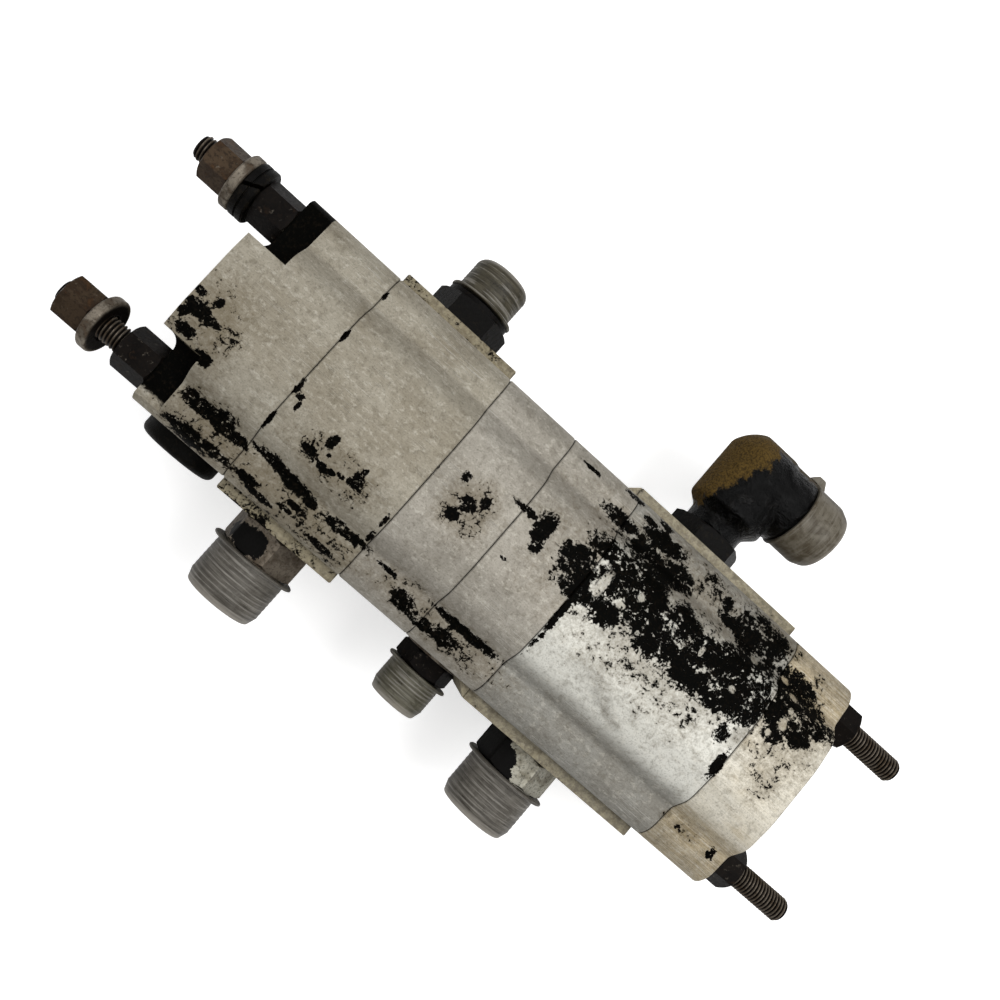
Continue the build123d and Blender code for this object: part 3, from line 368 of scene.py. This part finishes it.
def block_material(name, near, far, base, warm, grime=0.35, shine=0.5, top_sheen=0.0, brushed=0.05, lugs=False):
    """Worn aluminium of the blocks between two stations: mottled, scratched, and stained with oil, with a painted sheen
    on the flat top where asked.
    """
    paint = Paint(name)
    paint.shader.inputs["Specular IOR Level"].default_value = 0.02
    split = paint.node("ShaderNodeSeparateXYZ")
    paint.link(paint.place, split.inputs[0])
    x, y, z = split.outputs
    out = paint.sums("ABSOLUTE", y)
    upper = paint.step(z, 36, 40)
    side = paint.step(out, 47.9, 48.5)

    clouds = paint.noise(0.045, 4, 0.6)
    blotches = paint.noise(0.3, 5, 0.65, twist=0.4)
    grain = paint.noise(1.0, 2, 0.5, where=paint.stretch((0.1, 2.6, 2.6)))
    pits = paint.noise(1.5, 3, 0.7)
    color = paint.mix(paint.step(clouds, 0.38, 0.64), base, warm)
    # Painted sheen: the flat top of the crown is made paler in broad cloudy patches, standing in for light falling on
    # it.
    if top_sheen:
        flat = paint.sums("SUBTRACT", 1.0, paint.step(out, 24, 31))
        cloudy = paint.step(paint.noise(0.09, 4, 0.6, where=paint.stretch((0.5, 1, 1), shift=(7, 3, 0))), 0.2, 0.5)
        color = paint.mix(paint.sums("MULTIPLY", paint.sums("MULTIPLY", flat, cloudy), top_sheen), color, srgb(232, 231, 222))
    color = paint.mix(paint.sums("MULTIPLY", paint.step(grain, 0.35, 0.75), brushed), color, srgb(240, 236, 226))
    flakes = paint.noise(0.55, 4, 0.7, where=paint.stretch((0.6, 1, 1), shift=(5, 9, 0)))
    color = paint.mix(paint.sums("MULTIPLY", paint.step(blotches, 0.47, 0.7), 0.34), color, srgb(84, 76, 60))
    color = paint.mix(paint.sums("MULTIPLY", paint.step(flakes, 0.5, 0.68), 0.3), color, srgb(206, 202, 190))
    color = paint.mix(paint.sums("MULTIPLY", paint.step(pits, 0.52, 0.62), 0.3), color, srgb(74, 68, 56))

    scratches = None
    for turn, size, shift in ((38, 5.0, 3), (-52, 6.0, 11), (71, 7.0, 5), (12, 8.0, 29), (-14, 6.0, 17)):
        lines = paint.noise(1.0, 1, 0.4, where=paint.stretch((0.06, size, 0.05), turn=turn, shift=(shift, shift, 0)))
        line = paint.step(lines, 0.71, 0.75)
        scratches = line if scratches is None else paint.sums("MAXIMUM", scratches, line)
    gate = paint.step(paint.noise(0.05, 2, 0.5, where=paint.stretch((1, 1, 1), shift=(31, 8, 2))), 0.48, 0.62)
    scratches = paint.sums("MULTIPLY", paint.sums("MULTIPLY", scratches, gate), upper)
    color = paint.mix(paint.sums("MULTIPLY", scratches, 0.4), color, srgb(232, 230, 222))

    lumps = paint.noise(0.13, 2, 0.5, twist=0.2)
    ragged = paint.noise(0.46, 6, 0.76, twist=0.4)
    holes = paint.noise(0.9, 4, 0.65)
    edge = paint.sums("MULTIPLY_ADD", ragged, 3.4, paint.sums("MULTIPLY", paint.sums("ADD", lumps, holes), 1.6))
    stains = soaked(paint, stain_field(paint, STAINS, near, far), edge, 0.36, 3.38, 3.46)
    clean = soaked(paint, stain_field(paint, ISLANDS, near, far), edge, 0.4, 3.44, 3.54)
    stains = paint.sums("MULTIPLY", stains, paint.sums("SUBTRACT", 1.0, clean))
    specks = stain_field(paint, SPECKS, near, far)
    dust = soaked(paint, specks, edge, 0.1, 3.72, 3.84)
    oil = paint.sums("MULTIPLY", paint.sums("MAXIMUM", stains, dust), upper)
    lower_dirt = paint.sums("MULTIPLY_ADD", paint.noise(0.022, 3, 0.5), 2.2, edge)
    lower_dirt = paint.step(lower_dirt, 5.35 - grime, 5.45 - grime)
    oil = paint.sums("MAXIMUM", oil, paint.sums("MULTIPLY", lower_dirt, paint.sums("SUBTRACT", 1.0, upper)))
    seams = None
    for joint in JOINTS:
        gap = paint.sums("ABSOLUTE", paint.sums("SUBTRACT", x, joint))
        seams = gap if seams is None else paint.sums("MINIMUM", seams, gap)
    swell = paint.sums("MULTIPLY", paint.sums("MAXIMUM", paint.sums("SUBTRACT", ragged, 0.6), 0.0), 5.0)
    seam_dirt = paint.sums("SUBTRACT", 1.0, paint.step(paint.sums("SUBTRACT", seams, swell), 0.14, 0.3))
    seam_dirt = paint.sums("MULTIPLY", seam_dirt, paint.sums("SUBTRACT", 1.0, side))
    oil = paint.sums("MAXIMUM", oil, paint.sums("MULTIPLY", seam_dirt, 0.8))
    if lugs:
        notch = paint.sums("MULTIPLY", paint.step(out, 21.1, 21.5), paint.sums("SUBTRACT", 1.0, paint.step(x, 15.6, 16.0)))
        rim = paint.sums("MULTIPLY_ADD", ragged, 6.0, paint.sums("MULTIPLY", y, -1.0))
        notch = paint.sums("MULTIPLY", notch, paint.sums("SUBTRACT", 1.0, paint.step(rim, 44.4, 45.6)))
        notch = paint.sums("MULTIPLY", notch, paint.sums("SUBTRACT", 1.0, paint.step(out, 47.0, 47.6)))
        oil = paint.sums("MAXIMUM", oil, notch)

    sandy = paint.mix(paint.step(ragged, 0.36, 0.62), srgb(136, 127, 102), srgb(84, 75, 55))
    color = paint.mix(paint.sums("MULTIPLY", side, 0.7), color, sandy)
    halo = paint.sums("MULTIPLY", soaked(paint, specks, edge, 0.4, 2.6, 4.0), 0.5)
    color = paint.mix(paint.sums("MULTIPLY", halo, upper), color, srgb(92, 80, 58))
    shade = paint.mix(paint.step(holes, 0.5, 0.7), srgb(2, 2, 1), srgb(18, 14, 9))
    color = paint.mix(oil, color, shade)

    rough = paint.sums("ADD", shine - 0.1, paint.sums("MULTIPLY", blotches, 0.3))
    rough = paint.between(oil, rough, paint.sums("MULTIPLY_ADD", holes, 0.35, 0.35))
    metal = paint.between(oil, 0.4, 0.0)
    paint.bump(grain, 0.01)
    paint.bump(pits, 0.025)
    paint.bump(paint.sums("SUBTRACT", 0.0, scratches), 0.03)
    crust = paint.sums("MULTIPLY", oil, paint.sums("MULTIPLY_ADD", holes, 0.8, 0.5))
    paint.bump(crust, 0.22)
    return paint.done(color, rough, metal)


def steel_material(name, base, second, rust=0.4, shine=0.35, wet=0.5, metal=0.6, gloss=0.06, spots=(), rims=()):
    """Dark oily steel with brown rust, worn bright places, and black oil over some round spots."""
    paint = Paint(name)
    paint.shader.inputs["Specular IOR Level"].default_value = gloss
    broad = paint.noise(0.16, 4, 0.6, twist=0.5)
    fine = paint.noise(0.9, 5, 0.65)
    color = paint.mix(paint.step(broad, 0.42, 0.6), base, second)
    brown = paint.step(paint.sums("MULTIPLY_ADD", fine, 0.5, broad), 0.85 - rust * 0.2, 0.98 - rust * 0.2)
    color = paint.mix(paint.sums("MULTIPLY", brown, rust), color, srgb(96, 70, 46))
    worn = paint.step(paint.noise(0.5, 5, 0.7), 0.6, 0.72)
    color = paint.mix(paint.sums("MULTIPLY", worn, 0.4), color, srgb(128, 120, 108))
    dark = paint.step(fine, 0.5, 0.62)
    color = paint.mix(paint.sums("MULTIPLY", dark, wet), color, srgb(10, 8, 7))
    if rims:
        split = paint.node("ShaderNodeSeparateXYZ")
        paint.link(paint.place, split.inputs[0])
        aside, up = [
            paint.sums("SUBTRACT", paint.sums("ABSOLUTE", value), middle)
            for value, middle in zip(split.outputs[1:], (STUD_Y, STUD_Z))
        ]
        reach = paint.sums("SQRT", paint.sums("MULTIPLY_ADD", aside, aside, paint.sums("MULTIPLY", up, up)))
        color = paint.mix(paint.step(reach, *rims), srgb(16, 12, 9), color)
    rough = paint.sums("MULTIPLY_ADD", fine, 0.3, shine)
    steel = paint.between(dark, metal, metal * 0.3)
    if spots:
        edge = paint.sums("MULTIPLY_ADD", broad, 1.4, paint.sums("MULTIPLY", fine, 0.8))
        oil = soaked(paint, stain_field(paint, spots, -99, 999), edge, 0.6, 1.16, 1.24)
        color = paint.mix(oil, color, srgb(8, 7, 6))
        steel = paint.between(oil, steel, 0.0)
    paint.bump(fine, 0.06)
    paint.bump(broad, 0.15)
    return paint.done(color, rough, steel)


def oily_material(name, base=(7, 6, 5), rough=0.3, dust=(26, 22, 16)):
    """Black oil and dust over a piece."""
    paint = Paint(name)
    paint.shader.inputs["Specular IOR Level"].default_value = 0.06
    lumps = paint.noise(0.5, 6, 0.7, twist=0.3)
    fine = paint.noise(2.2, 3, 0.6)
    color = paint.mix(paint.step(lumps, 0.5, 0.72), srgb(*base), srgb(*dust))
    paint.bump(lumps, 0.35)
    paint.bump(fine, 0.05)
    return paint.done(color, paint.sums("MULTIPLY_ADD", lumps, 0.25, rough), 0.0)


def cap_material(name, base, dirty, soot, share, highlight_from, highlight_to, pitch=2.0, lines=0.5, along="y",
                 clear=0.22):
    """Cloudy thin plastic with thread lines behind it, and a painted highlight that makes it paler towards the end of
    the cap.
    """
    paint = Paint(name)
    paint.shader.inputs["Specular IOR Level"].default_value = 0.25
    split = paint.node("ShaderNodeSeparateXYZ")
    paint.link(paint.place, split.inputs[0])
    reach = paint.sums("ABSOLUTE", split.outputs["XYZ".index(along.upper())])
    clouds = paint.noise(0.18, 4, 0.6, twist=0.6)
    round_about = (0.06, 1.3, 0.06) if along == "y" else (1.3, 0.06, 0.06)
    streaks = paint.noise(1.0, 3, 0.6, where=paint.stretch(round_about))
    fine = paint.noise(1.4, 4, 0.65)
    wave = paint.sums("SINE", paint.sums("MULTIPLY", reach, tau / pitch))
    wave = paint.sums("MULTIPLY_ADD", wave, 0.06, streaks)
    wave = paint.sums("MULTIPLY_ADD", paint.sums("SUBTRACT", clouds, 0.5), 0.35, wave)
    color = paint.mix(paint.step(clouds, 0.38, 0.66), base, dirty)
    color = paint.mix(paint.sums("MULTIPLY", paint.step(wave, 0.52, 0.68), lines), color, srgb(158, 154, 146))
    color = paint.mix(paint.sums("MULTIPLY", paint.step(wave, 0.48, 0.34), lines), color, soot)
    marks = paint.step(fine, 0.58, 0.7)
    color = paint.mix(paint.sums("MULTIPLY", marks, share), color, soot)
    # Painted highlight: the end of the cap is made paler, standing in for the bright rim of light there.
    pale = paint.sums("MULTIPLY", paint.step(reach, highlight_from, highlight_to), 0.6)
    color = paint.mix(pale, color, srgb(158, 152, 142))
    paint.bump(wave, 0.12)
    paint.bump(fine, 0.03)
    solid = paint.sums("SUBTRACT", 1.0, paint.sums("MULTIPLY", paint.step(clouds, 0.2, 0.8), clear))
    paint.link(solid, paint.shader.inputs["Alpha"])
    return paint.done(color, paint.sums("MULTIPLY_ADD", fine, 0.25, 0.36), 0.0)


FRONT_WARM = block_material(
    "worn aluminium front", 0, 100.5, srgb(150, 144, 130), srgb(134, 127, 112), grime=0.65, lugs=True
)
MIDDLE_GREY = block_material("worn aluminium middle", 100.5, 166, srgb(152, 147, 137), srgb(138, 133, 123), grime=0.35)
# The rear body and the cover get a painted sheen on their flat tops.
REAR_GREY_SHEENED = block_material(
    "worn aluminium rear", 166, 250, srgb(142, 140, 133), srgb(130, 127, 119), grime=0.3, top_sheen=0.6
)
COVER_CREAM = block_material(
    "worn aluminium cover", 250, 280, srgb(162, 148, 120), srgb(138, 126, 102), grime=0.35, top_sheen=0.45, brushed=0.3
)
RUSTY_NUT = steel_material("rusty nut steel", srgb(66, 54, 42), srgb(48, 38, 30), rust=0.4)
DARK_STEEL = steel_material("dark oily steel", srgb(18, 14, 11), srgb(9, 7, 6), rust=0.12, wet=0.8, metal=0.3)
THREAD_STEEL = steel_material(
    "threaded stud steel", srgb(112, 103, 92), srgb(84, 74, 62), rust=0.3, wet=0.4, rims=(4.35, 4.95)
)
ZINC_GREY = steel_material(
    "worn plated steel", srgb(118, 109, 97), srgb(90, 81, 70), rust=0.2, wet=0.5, metal=0.7,
    spots=((67.5, -61.5, 7.5, 5.5),),
)
ZINC_BRIGHT = steel_material(
    "bright plated steel", srgb(164, 161, 148), srgb(128, 123, 108), rust=0.05, wet=0.5, metal=0.7,
    spots=((196, -62, 8.5, 6), (199, -66, 8, 4), (193, -56, 5, 6)),
)
WASHER_STEEL = steel_material(
    "worn washer steel", srgb(126, 118, 106), srgb(84, 76, 66), rust=0.25, wet=0.5, rims=(9.2, 11.0)
)
HIDDEN_STEEL = steel_material("ground steel", srgb(150, 150, 148), srgb(128, 128, 126), rust=0.05, wet=0.2, metal=0.9)
BLACK_OIL = oily_material("black oily grime")
PLUG_BLACK = oily_material("black plug", base=(9, 8, 6), rough=0.36)
# The two numbers after the share give where the painted highlight at the end of each cap starts and ends.
CAP_GREY = cap_material(
    "cloudy plastic", srgb(100, 96, 89), srgb(80, 76, 69), srgb(36, 32, 26), 0.4, 85.4, 88.2
)
CAP_SMALL = cap_material(
    "cloudy small plastic", srgb(96, 93, 80), srgb(74, 71, 58), srgb(36, 32, 24), 0.4, 71.6, 74.6, pitch=1.5
)
CAP_DIRTY = cap_material(
    "dirty cloudy plastic", srgb(76, 71, 57), srgb(50, 46, 34), srgb(20, 17, 11), 0.6, 83.0, 85.6, pitch=3.0, clear=0.14
)
CAP_BROWN = cap_material(
    "brown cloudy plastic", srgb(104, 98, 86), srgb(72, 64, 50), srgb(30, 25, 18), 0.6, 247.5, 250.5, pitch=2.6,
    lines=0.15, along="x", clear=0.1,
)


def elbow_material():
    """Black oil over the elbow, dry ochre dirt on its outer side and dust along its top edge."""
    paint = Paint("ochre and oil")
    paint.shader.inputs["Specular IOR Level"].default_value = 0.09
    split = paint.node("ShaderNodeSeparateXYZ")
    paint.link(paint.place, split.inputs[0])
    x, y, z = split.outputs
    ragged = paint.noise(0.18, 5, 0.65, twist=0.4)
    fine = paint.noise(1.3, 4, 0.6)
    rough_edge = paint.sums("MULTIPLY", paint.sums("SUBTRACT", ragged, 0.5), 16.0)
    reach = paint.sums("ADD", paint.sums("MULTIPLY_ADD", y, 0.33, rough_edge), paint.sums("MULTIPLY", x, -1.0))
    ochre = paint.step(reach, -172.2, -170.2)
    dusty = paint.step(paint.sums("MULTIPLY_ADD", rough_edge, 0.5, y), 107.6, 109.6)
    dry = paint.mix(paint.step(fine, 0.4, 0.65), srgb(88, 69, 33), srgb(56, 43, 20))
    wet = paint.mix(paint.step(ragged, 0.5, 0.7), srgb(3, 3, 3), srgb(12, 11, 10))
    color = paint.mix(ochre, wet, dry)
    color = paint.mix(paint.sums("MULTIPLY", dusty, 0.7), color, srgb(84, 72, 54))
    dry_share = paint.sums("MAXIMUM", ochre, dusty)
    paint.bump(ragged, 2.2)
    paint.bump(fine, 0.2)
    return paint.done(color, paint.between(dry_share, paint.sums("MULTIPLY_ADD", fine, 0.2, 0.06), 0.8), 0.0)


OCHRE_OIL = elbow_material()


# Blocks

for node, material in (
    ("front_cover", FRONT_WARM), ("front_pump_body", FRONT_WARM), ("spacer_block", MIDDLE_GREY),
    ("drain_block", MIDDLE_GREY), ("rear_pump_body", REAR_GREY_SHEENED), ("rear_cover", COVER_CREAM),
):
    keep(dressed(node, bevel=0.25), "pump", material, "block_aluminium", node)


# Studs, nuts and washers

def stud(name, y, z, front, rear, front_bare, rear_bare):
    """Stud with its thread cut where it stands out of the blocks."""
    radius, pitch, depth = 5.0, 1.5, 0.85
    matrix = place((0, y, z), (1, 0, 0), (0, 1, 0))
    rings = [(0.4, front)]
    rings += thread_rings(radius, front, front_bare, pitch, depth, 1.0)
    rings += [(4.5, front_bare + 0.01), (4.5, rear_bare - 0.01)]
    rings += thread_rings(radius, rear_bare, rear, pitch, depth, 1.0)
    rings += [(0.4, rear)]
    return turned(name, matrix, rings, sides=40, sharp=50)


for group, z, front, rear in (("upper_tie_studs", STUD_Z, -36.5, 316.1), ("lower_tie_studs", -STUD_Z, -11.3, 293.0)):
    pair = [stud("stud", side * STUD_Y, z, front, rear, *SHANK) for side in (1, -1)]
    keep(joined(group + "_look", *pair), "pump", THREAD_STEEL, "stud_steel", group)

for node, material in (
    ("front_lock_nuts", DARK_STEEL), ("front_clamp_nuts", RUSTY_NUT), ("rear_nuts", DARK_STEEL),
    ("spring_washer", BLACK_OIL), ("seated_washer", WASHER_STEEL), ("bleed_screw", ZINC_GREY),
):
    slot = "washer_steel" if "washer" in node else "nut_steel"
    keep(dressed(node, bevel=0.2), "pump", material, slot, node)
keep(dressed("loose_washer", bevel=0.3), "loose_washer", WASHER_STEEL, "washer_steel", "loose_washer")
keep(dressed("side_plug", bevel=0.4), "pump", PLUG_BLACK, "plug_black", "side_plug")
keep(dressed("sealing_washers", bevel=0.2), "pump", WASHER_STEEL, "washer_steel", "sealing_washers")


# Port fittings and their caps

def fitting(name, matrix, stem, hexagon, neck, thread, reach, bore, turn):
    """Port fitting with a hexagon, a neck, a cut thread and a bore with a coned mouth."""
    stem_radius, stem_depth = stem
    flats, height = hexagon
    neck_radius, neck_height = neck
    radius, pitch = thread
    seat = 1.6
    top = seat + height
    rings = [(stem_radius - 1, -stem_depth), (stem_radius, 1 - stem_depth), (stem_radius, seat)]
    rings += hexagon_rings(flats, seat, top, 1.6, turn)
    rings += [(neck_radius, top), (neck_radius, top + neck_height)]
    rings += thread_rings(radius, top + neck_height, reach, pitch, pitch * 0.6, 1.0)
    rings += [(bore + 1.8, reach), (bore, reach - 2), (bore, -stem_depth)]
    return turned(name, matrix, rings, closed=True)


def cap_rings(thread, wall, lip, taper, end, length, blend, ribs=0.0):
    """Rings of a thin cap, from its mouth round the outside and back down the inside."""
    inner = thread + 0.3
    lip_height = 1.3
    shoulder = atan2(wall - end, taper)
    start = length - taper - blend * tan(shoulder / 2)
    flat = end - blend * tan((pi / 2 - shoulder) / 2)

    def wavy(radius, height, size, turns):
        return lambda angle: (radius + size * sin(turns * angle + height), height)

    rings = [(inner + 0.1, 0), wavy(lip - 0.4, 0, 0.12, 3), wavy(lip, 0.35, 0.15, 3)]
    rings += [wavy(lip, lip_height - 0.35, 0.15, 3), wavy(lip - 0.4, lip_height, 0.12, 3)]
    rings += [(wall + 0.4, lip_height), (wall, lip_height + 0.4)]
    steps = 14
    for step in range(1, steps):
        height = lip_height + 0.4 + (start - lip_height - 0.4) * step / steps
        rings.append((wall - (wall - inner) * ribs * (step % 2), height))
    for share in range(6):
        angle = shoulder * share / 5
        rings.append((wall - blend * (1 - cos(angle)), start + blend * sin(angle)))
    for share in range(6):
        angle = shoulder + (pi / 2 - shoulder) * share / 5
        rings.append((flat + blend * cos(angle), length - blend * (1 - sin(angle))))
    rings += [(flat * 0.8, length), (flat * 0.76, length - 0.3), (flat * 0.2, length - 0.3), (0.3, length - 0.35)]
    rings += [(0.3, length - 1.4), (end - wall + inner, length - 1.4), (inner, length - taper)]
    return rings


SUCTION = ((13.2, 14.0), (30.0, 12.3), (13.8, 1.6), (15.0, 2.0), 32.7, 9.5)
DELIVERY = ((11.0, 13.0), (30.0, 11.5), (14.6, 2.0), (11.0, 1.5), 30.7, 6.5)
DRAIN = ((8.0, 11.0), (22.5, 7.6), (9.0, 1.4), (10.0, 1.5), 22.5, 4.5)
SUCTION_CAP = (15, 16.25, 19.1, 4.5, 14.7, 21.8, 1.0, 0.15)
DELIVERY_CAP = (11, 12.75, 15.1, 3.5, 10.9, 17.1, 4.6, 0.1)
DRAIN_CAP = (10, 12.0, 14.3, 4.5, 10.6, 16.3, 1.0, 0.1)
for name, x, side, face, sizes, turn, mouth, cap, material, cap_paint in (
    ("front_suction", FRONT_PORT_X, -1, PAD_FACE, SUCTION, 16, 14.4, SUCTION_CAP, ZINC_GREY, CAP_GREY),
    ("rear_suction", REAR_PORT_X, -1, PAD_FACE, SUCTION, 16, 14.4, SUCTION_CAP, ZINC_BRIGHT, CAP_GREY),
    ("front_delivery", FRONT_PORT_X, 1, PAD_FACE, DELIVERY, 0, 16.1, DELIVERY_CAP, BLACK_OIL, CAP_DIRTY),
    ("drain", DRAIN_PORT_X, -1, DRAIN_FACE, DRAIN, 0, 9.7, DRAIN_CAP, DARK_STEEL, CAP_SMALL),
):
    seat = place((x, side * face, 0), (0, side, 0))
    keep(fitting(name + "_fitting_look", seat, *sizes, turn), "pump", material, "fitting_steel", name + "_fitting")
    rim = seat @ Matrix.Translation((0, 0, mouth))
    shell = turned("shell", rim, cap_rings(*cap), closed=True)
    keep(shell, name + "_cap", cap_paint, "cap_plastic", name + "_cap").name = name + "_cap_look"


# Elbow, its lock nut and its cap

def forged(node, voxel, rounds):
    """Copy of a CAD node with all its edges flowed into each other, as on a forging."""
    piece = dressed(node, bevel=0)
    melt = piece.modifiers.new("forging", "REMESH")
    melt.mode = "VOXEL"
    melt.voxel_size = voxel * MM
    melt.use_smooth_shade = True
    flow = piece.modifiers.new("flow", "SMOOTH")
    flow.factor = 0.5
    flow.iterations = rounds
    return piece


keep(forged("elbow", 0.7, 8), "pump", OCHRE_OIL, "fitting_steel", "elbow")
keep(dressed("elbow_lock_nut", bevel=0.3), "pump", BLACK_OIL, "fitting_steel", "elbow_lock_nut")
keep(dressed("elbow_cap", bevel=0.3), "elbow_cap", CAP_BROWN, "cap_plastic", "elbow_cap")


# Hidden pieces keep their solids

for node in ("drive_coupling", "front_drive_gear", "middle_coupling", "rear_drive_gear", "front_idler_gear",
             "rear_idler_gear", "dowel_pins", "seal_circlip"):
    nodes[node].data.materials.clear()
    nodes[node].data.materials.append(HIDDEN_STEEL)
BEARING = steel_material("bearing aluminium", srgb(176, 176, 174), srgb(160, 160, 158), rust=0.0, wet=0.1, metal=0.9)
BRONZE = steel_material("bearing bronze", srgb(176, 136, 84), srgb(150, 112, 66), rust=0.1, wet=0.2, metal=0.9)
for node in ("front_bearing_blocks", "rear_bearing_blocks"):
    nodes[node].data.materials.clear()
    nodes[node].data.materials.append(BEARING)
for node in ("front_bearing_bushes", "rear_bearing_bushes"):
    nodes[node].data.materials.clear()
    nodes[node].data.materials.append(BRONZE)
for node in ("front_pressure_seals", "rear_pressure_seals", "section_seals", "nose_shaft_seal", "middle_shaft_seals"):
    nodes[node].data.materials.clear()
    nodes[node].data.materials.append(PLUG_BLACK)


# Floor, light and camera

FLOOR_Z = -60.0
CAMERA_PLACE = (80.49, -22.38, 413.7)

floor_mesh = bpy.data.meshes.new("floor")
reach = 4000 * MM
floor_mesh.from_pydata(
    [(-reach, -reach, 0), (reach, -reach, 0), (reach, reach, 0), (-reach, reach, 0)], [], [(0, 1, 2, 3)]
)
floor = bpy.data.objects.new("floor", floor_mesh)
floor.location = (0, 0, FLOOR_Z * MM)
bpy.context.scene.collection.objects.link(floor)
floor_paint = bpy.data.materials.new("pale floor")
floor_paint.use_nodes = True
tree = floor_paint.node_tree
floor_shader = tree.nodes["Principled BSDF"]
floor_shader.inputs["Base Color"].default_value = (0.9, 0.9, 0.9, 1)
floor_shader.inputs["Roughness"].default_value = 0.9
floor_shader.inputs["Specular IOR Level"].default_value = 0.0
floor_shader.inputs["Emission Color"].default_value = (1, 1, 1, 1)
rays = tree.nodes.new("ShaderNodeLightPath")
seen = tree.nodes.new("ShaderNodeMath")
seen.operation = "MULTIPLY"
seen.inputs[1].default_value = 0.5
tree.links.new(rays.outputs["Is Camera Ray"], seen.inputs[0])
tree.links.new(seen.outputs[0], floor_shader.inputs["Emission Strength"])
floor_mesh.materials.append(floor_paint)

world = bpy.data.worlds.new("soft studio")
bpy.context.scene.world = world
world.use_nodes = True
tree = world.node_tree
background = tree.nodes["Background"]
background.inputs["Color"].default_value = (1, 1, 1, 1)
rays = tree.nodes.new("ShaderNodeLightPath")
direct = tree.nodes.new("ShaderNodeMath")
direct.operation = "MAXIMUM"
direct.inputs[1].default_value = 0.5
tree.links.new(rays.outputs["Is Camera Ray"], direct.inputs[0])
tree.links.new(direct.outputs[0], background.inputs["Strength"])


def lamp(name, where, aim, size, power):
    """Soft square lamp that points at a place."""
    light = bpy.data.lights.new(name, "AREA")
    light.size = size * MM
    light.energy = power
    piece = bpy.data.objects.new(name, light)
    piece.location = Vector(where) * MM
    piece.rotation_mode = "QUATERNION"
    piece.rotation_quaternion = (Vector(aim) - Vector(where)).to_track_quat("-Z", "Y")
    bpy.context.scene.collection.objects.link(piece)
    return piece


key = lamp("key", (500, 160, 880), (190, 0, 0), 420, 4.5)
fill = lamp("fill", (-160, 200, 800), (100, 0, 0), 700, 2.2)
floor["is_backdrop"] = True

# Camera of the photograph
look = Euler((-0.09131, -0.12298, 0.014292), "XYZ").to_matrix()
flip = Matrix.Diagonal((1, -1, -1))
across, down, ahead = look @ flip
right = (0.7547 * across - 0.6561 * down).normalized()
below = (0.6561 * across + 0.7547 * down).normalized()
camera_data = bpy.data.cameras.new("camera")
camera_data.sensor_width = 36
camera_data.lens = 36.73
camera_data.clip_start = 0.01
camera_data.clip_end = 20
camera = bpy.data.objects.new("camera", camera_data)
pose = Matrix((right, -below, -ahead)).transposed().to_4x4()
pose.translation = Vector(CAMERA_PLACE) * MM
camera.matrix_world = pose
bpy.context.scene.collection.objects.link(camera)
bpy.context.scene.camera = camera
bpy.context.scene.view_settings.view_transform = "Standard"

sizes = {"cad": [list(corner) for corner in cad_box], "visual": [list(corner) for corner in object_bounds()]}
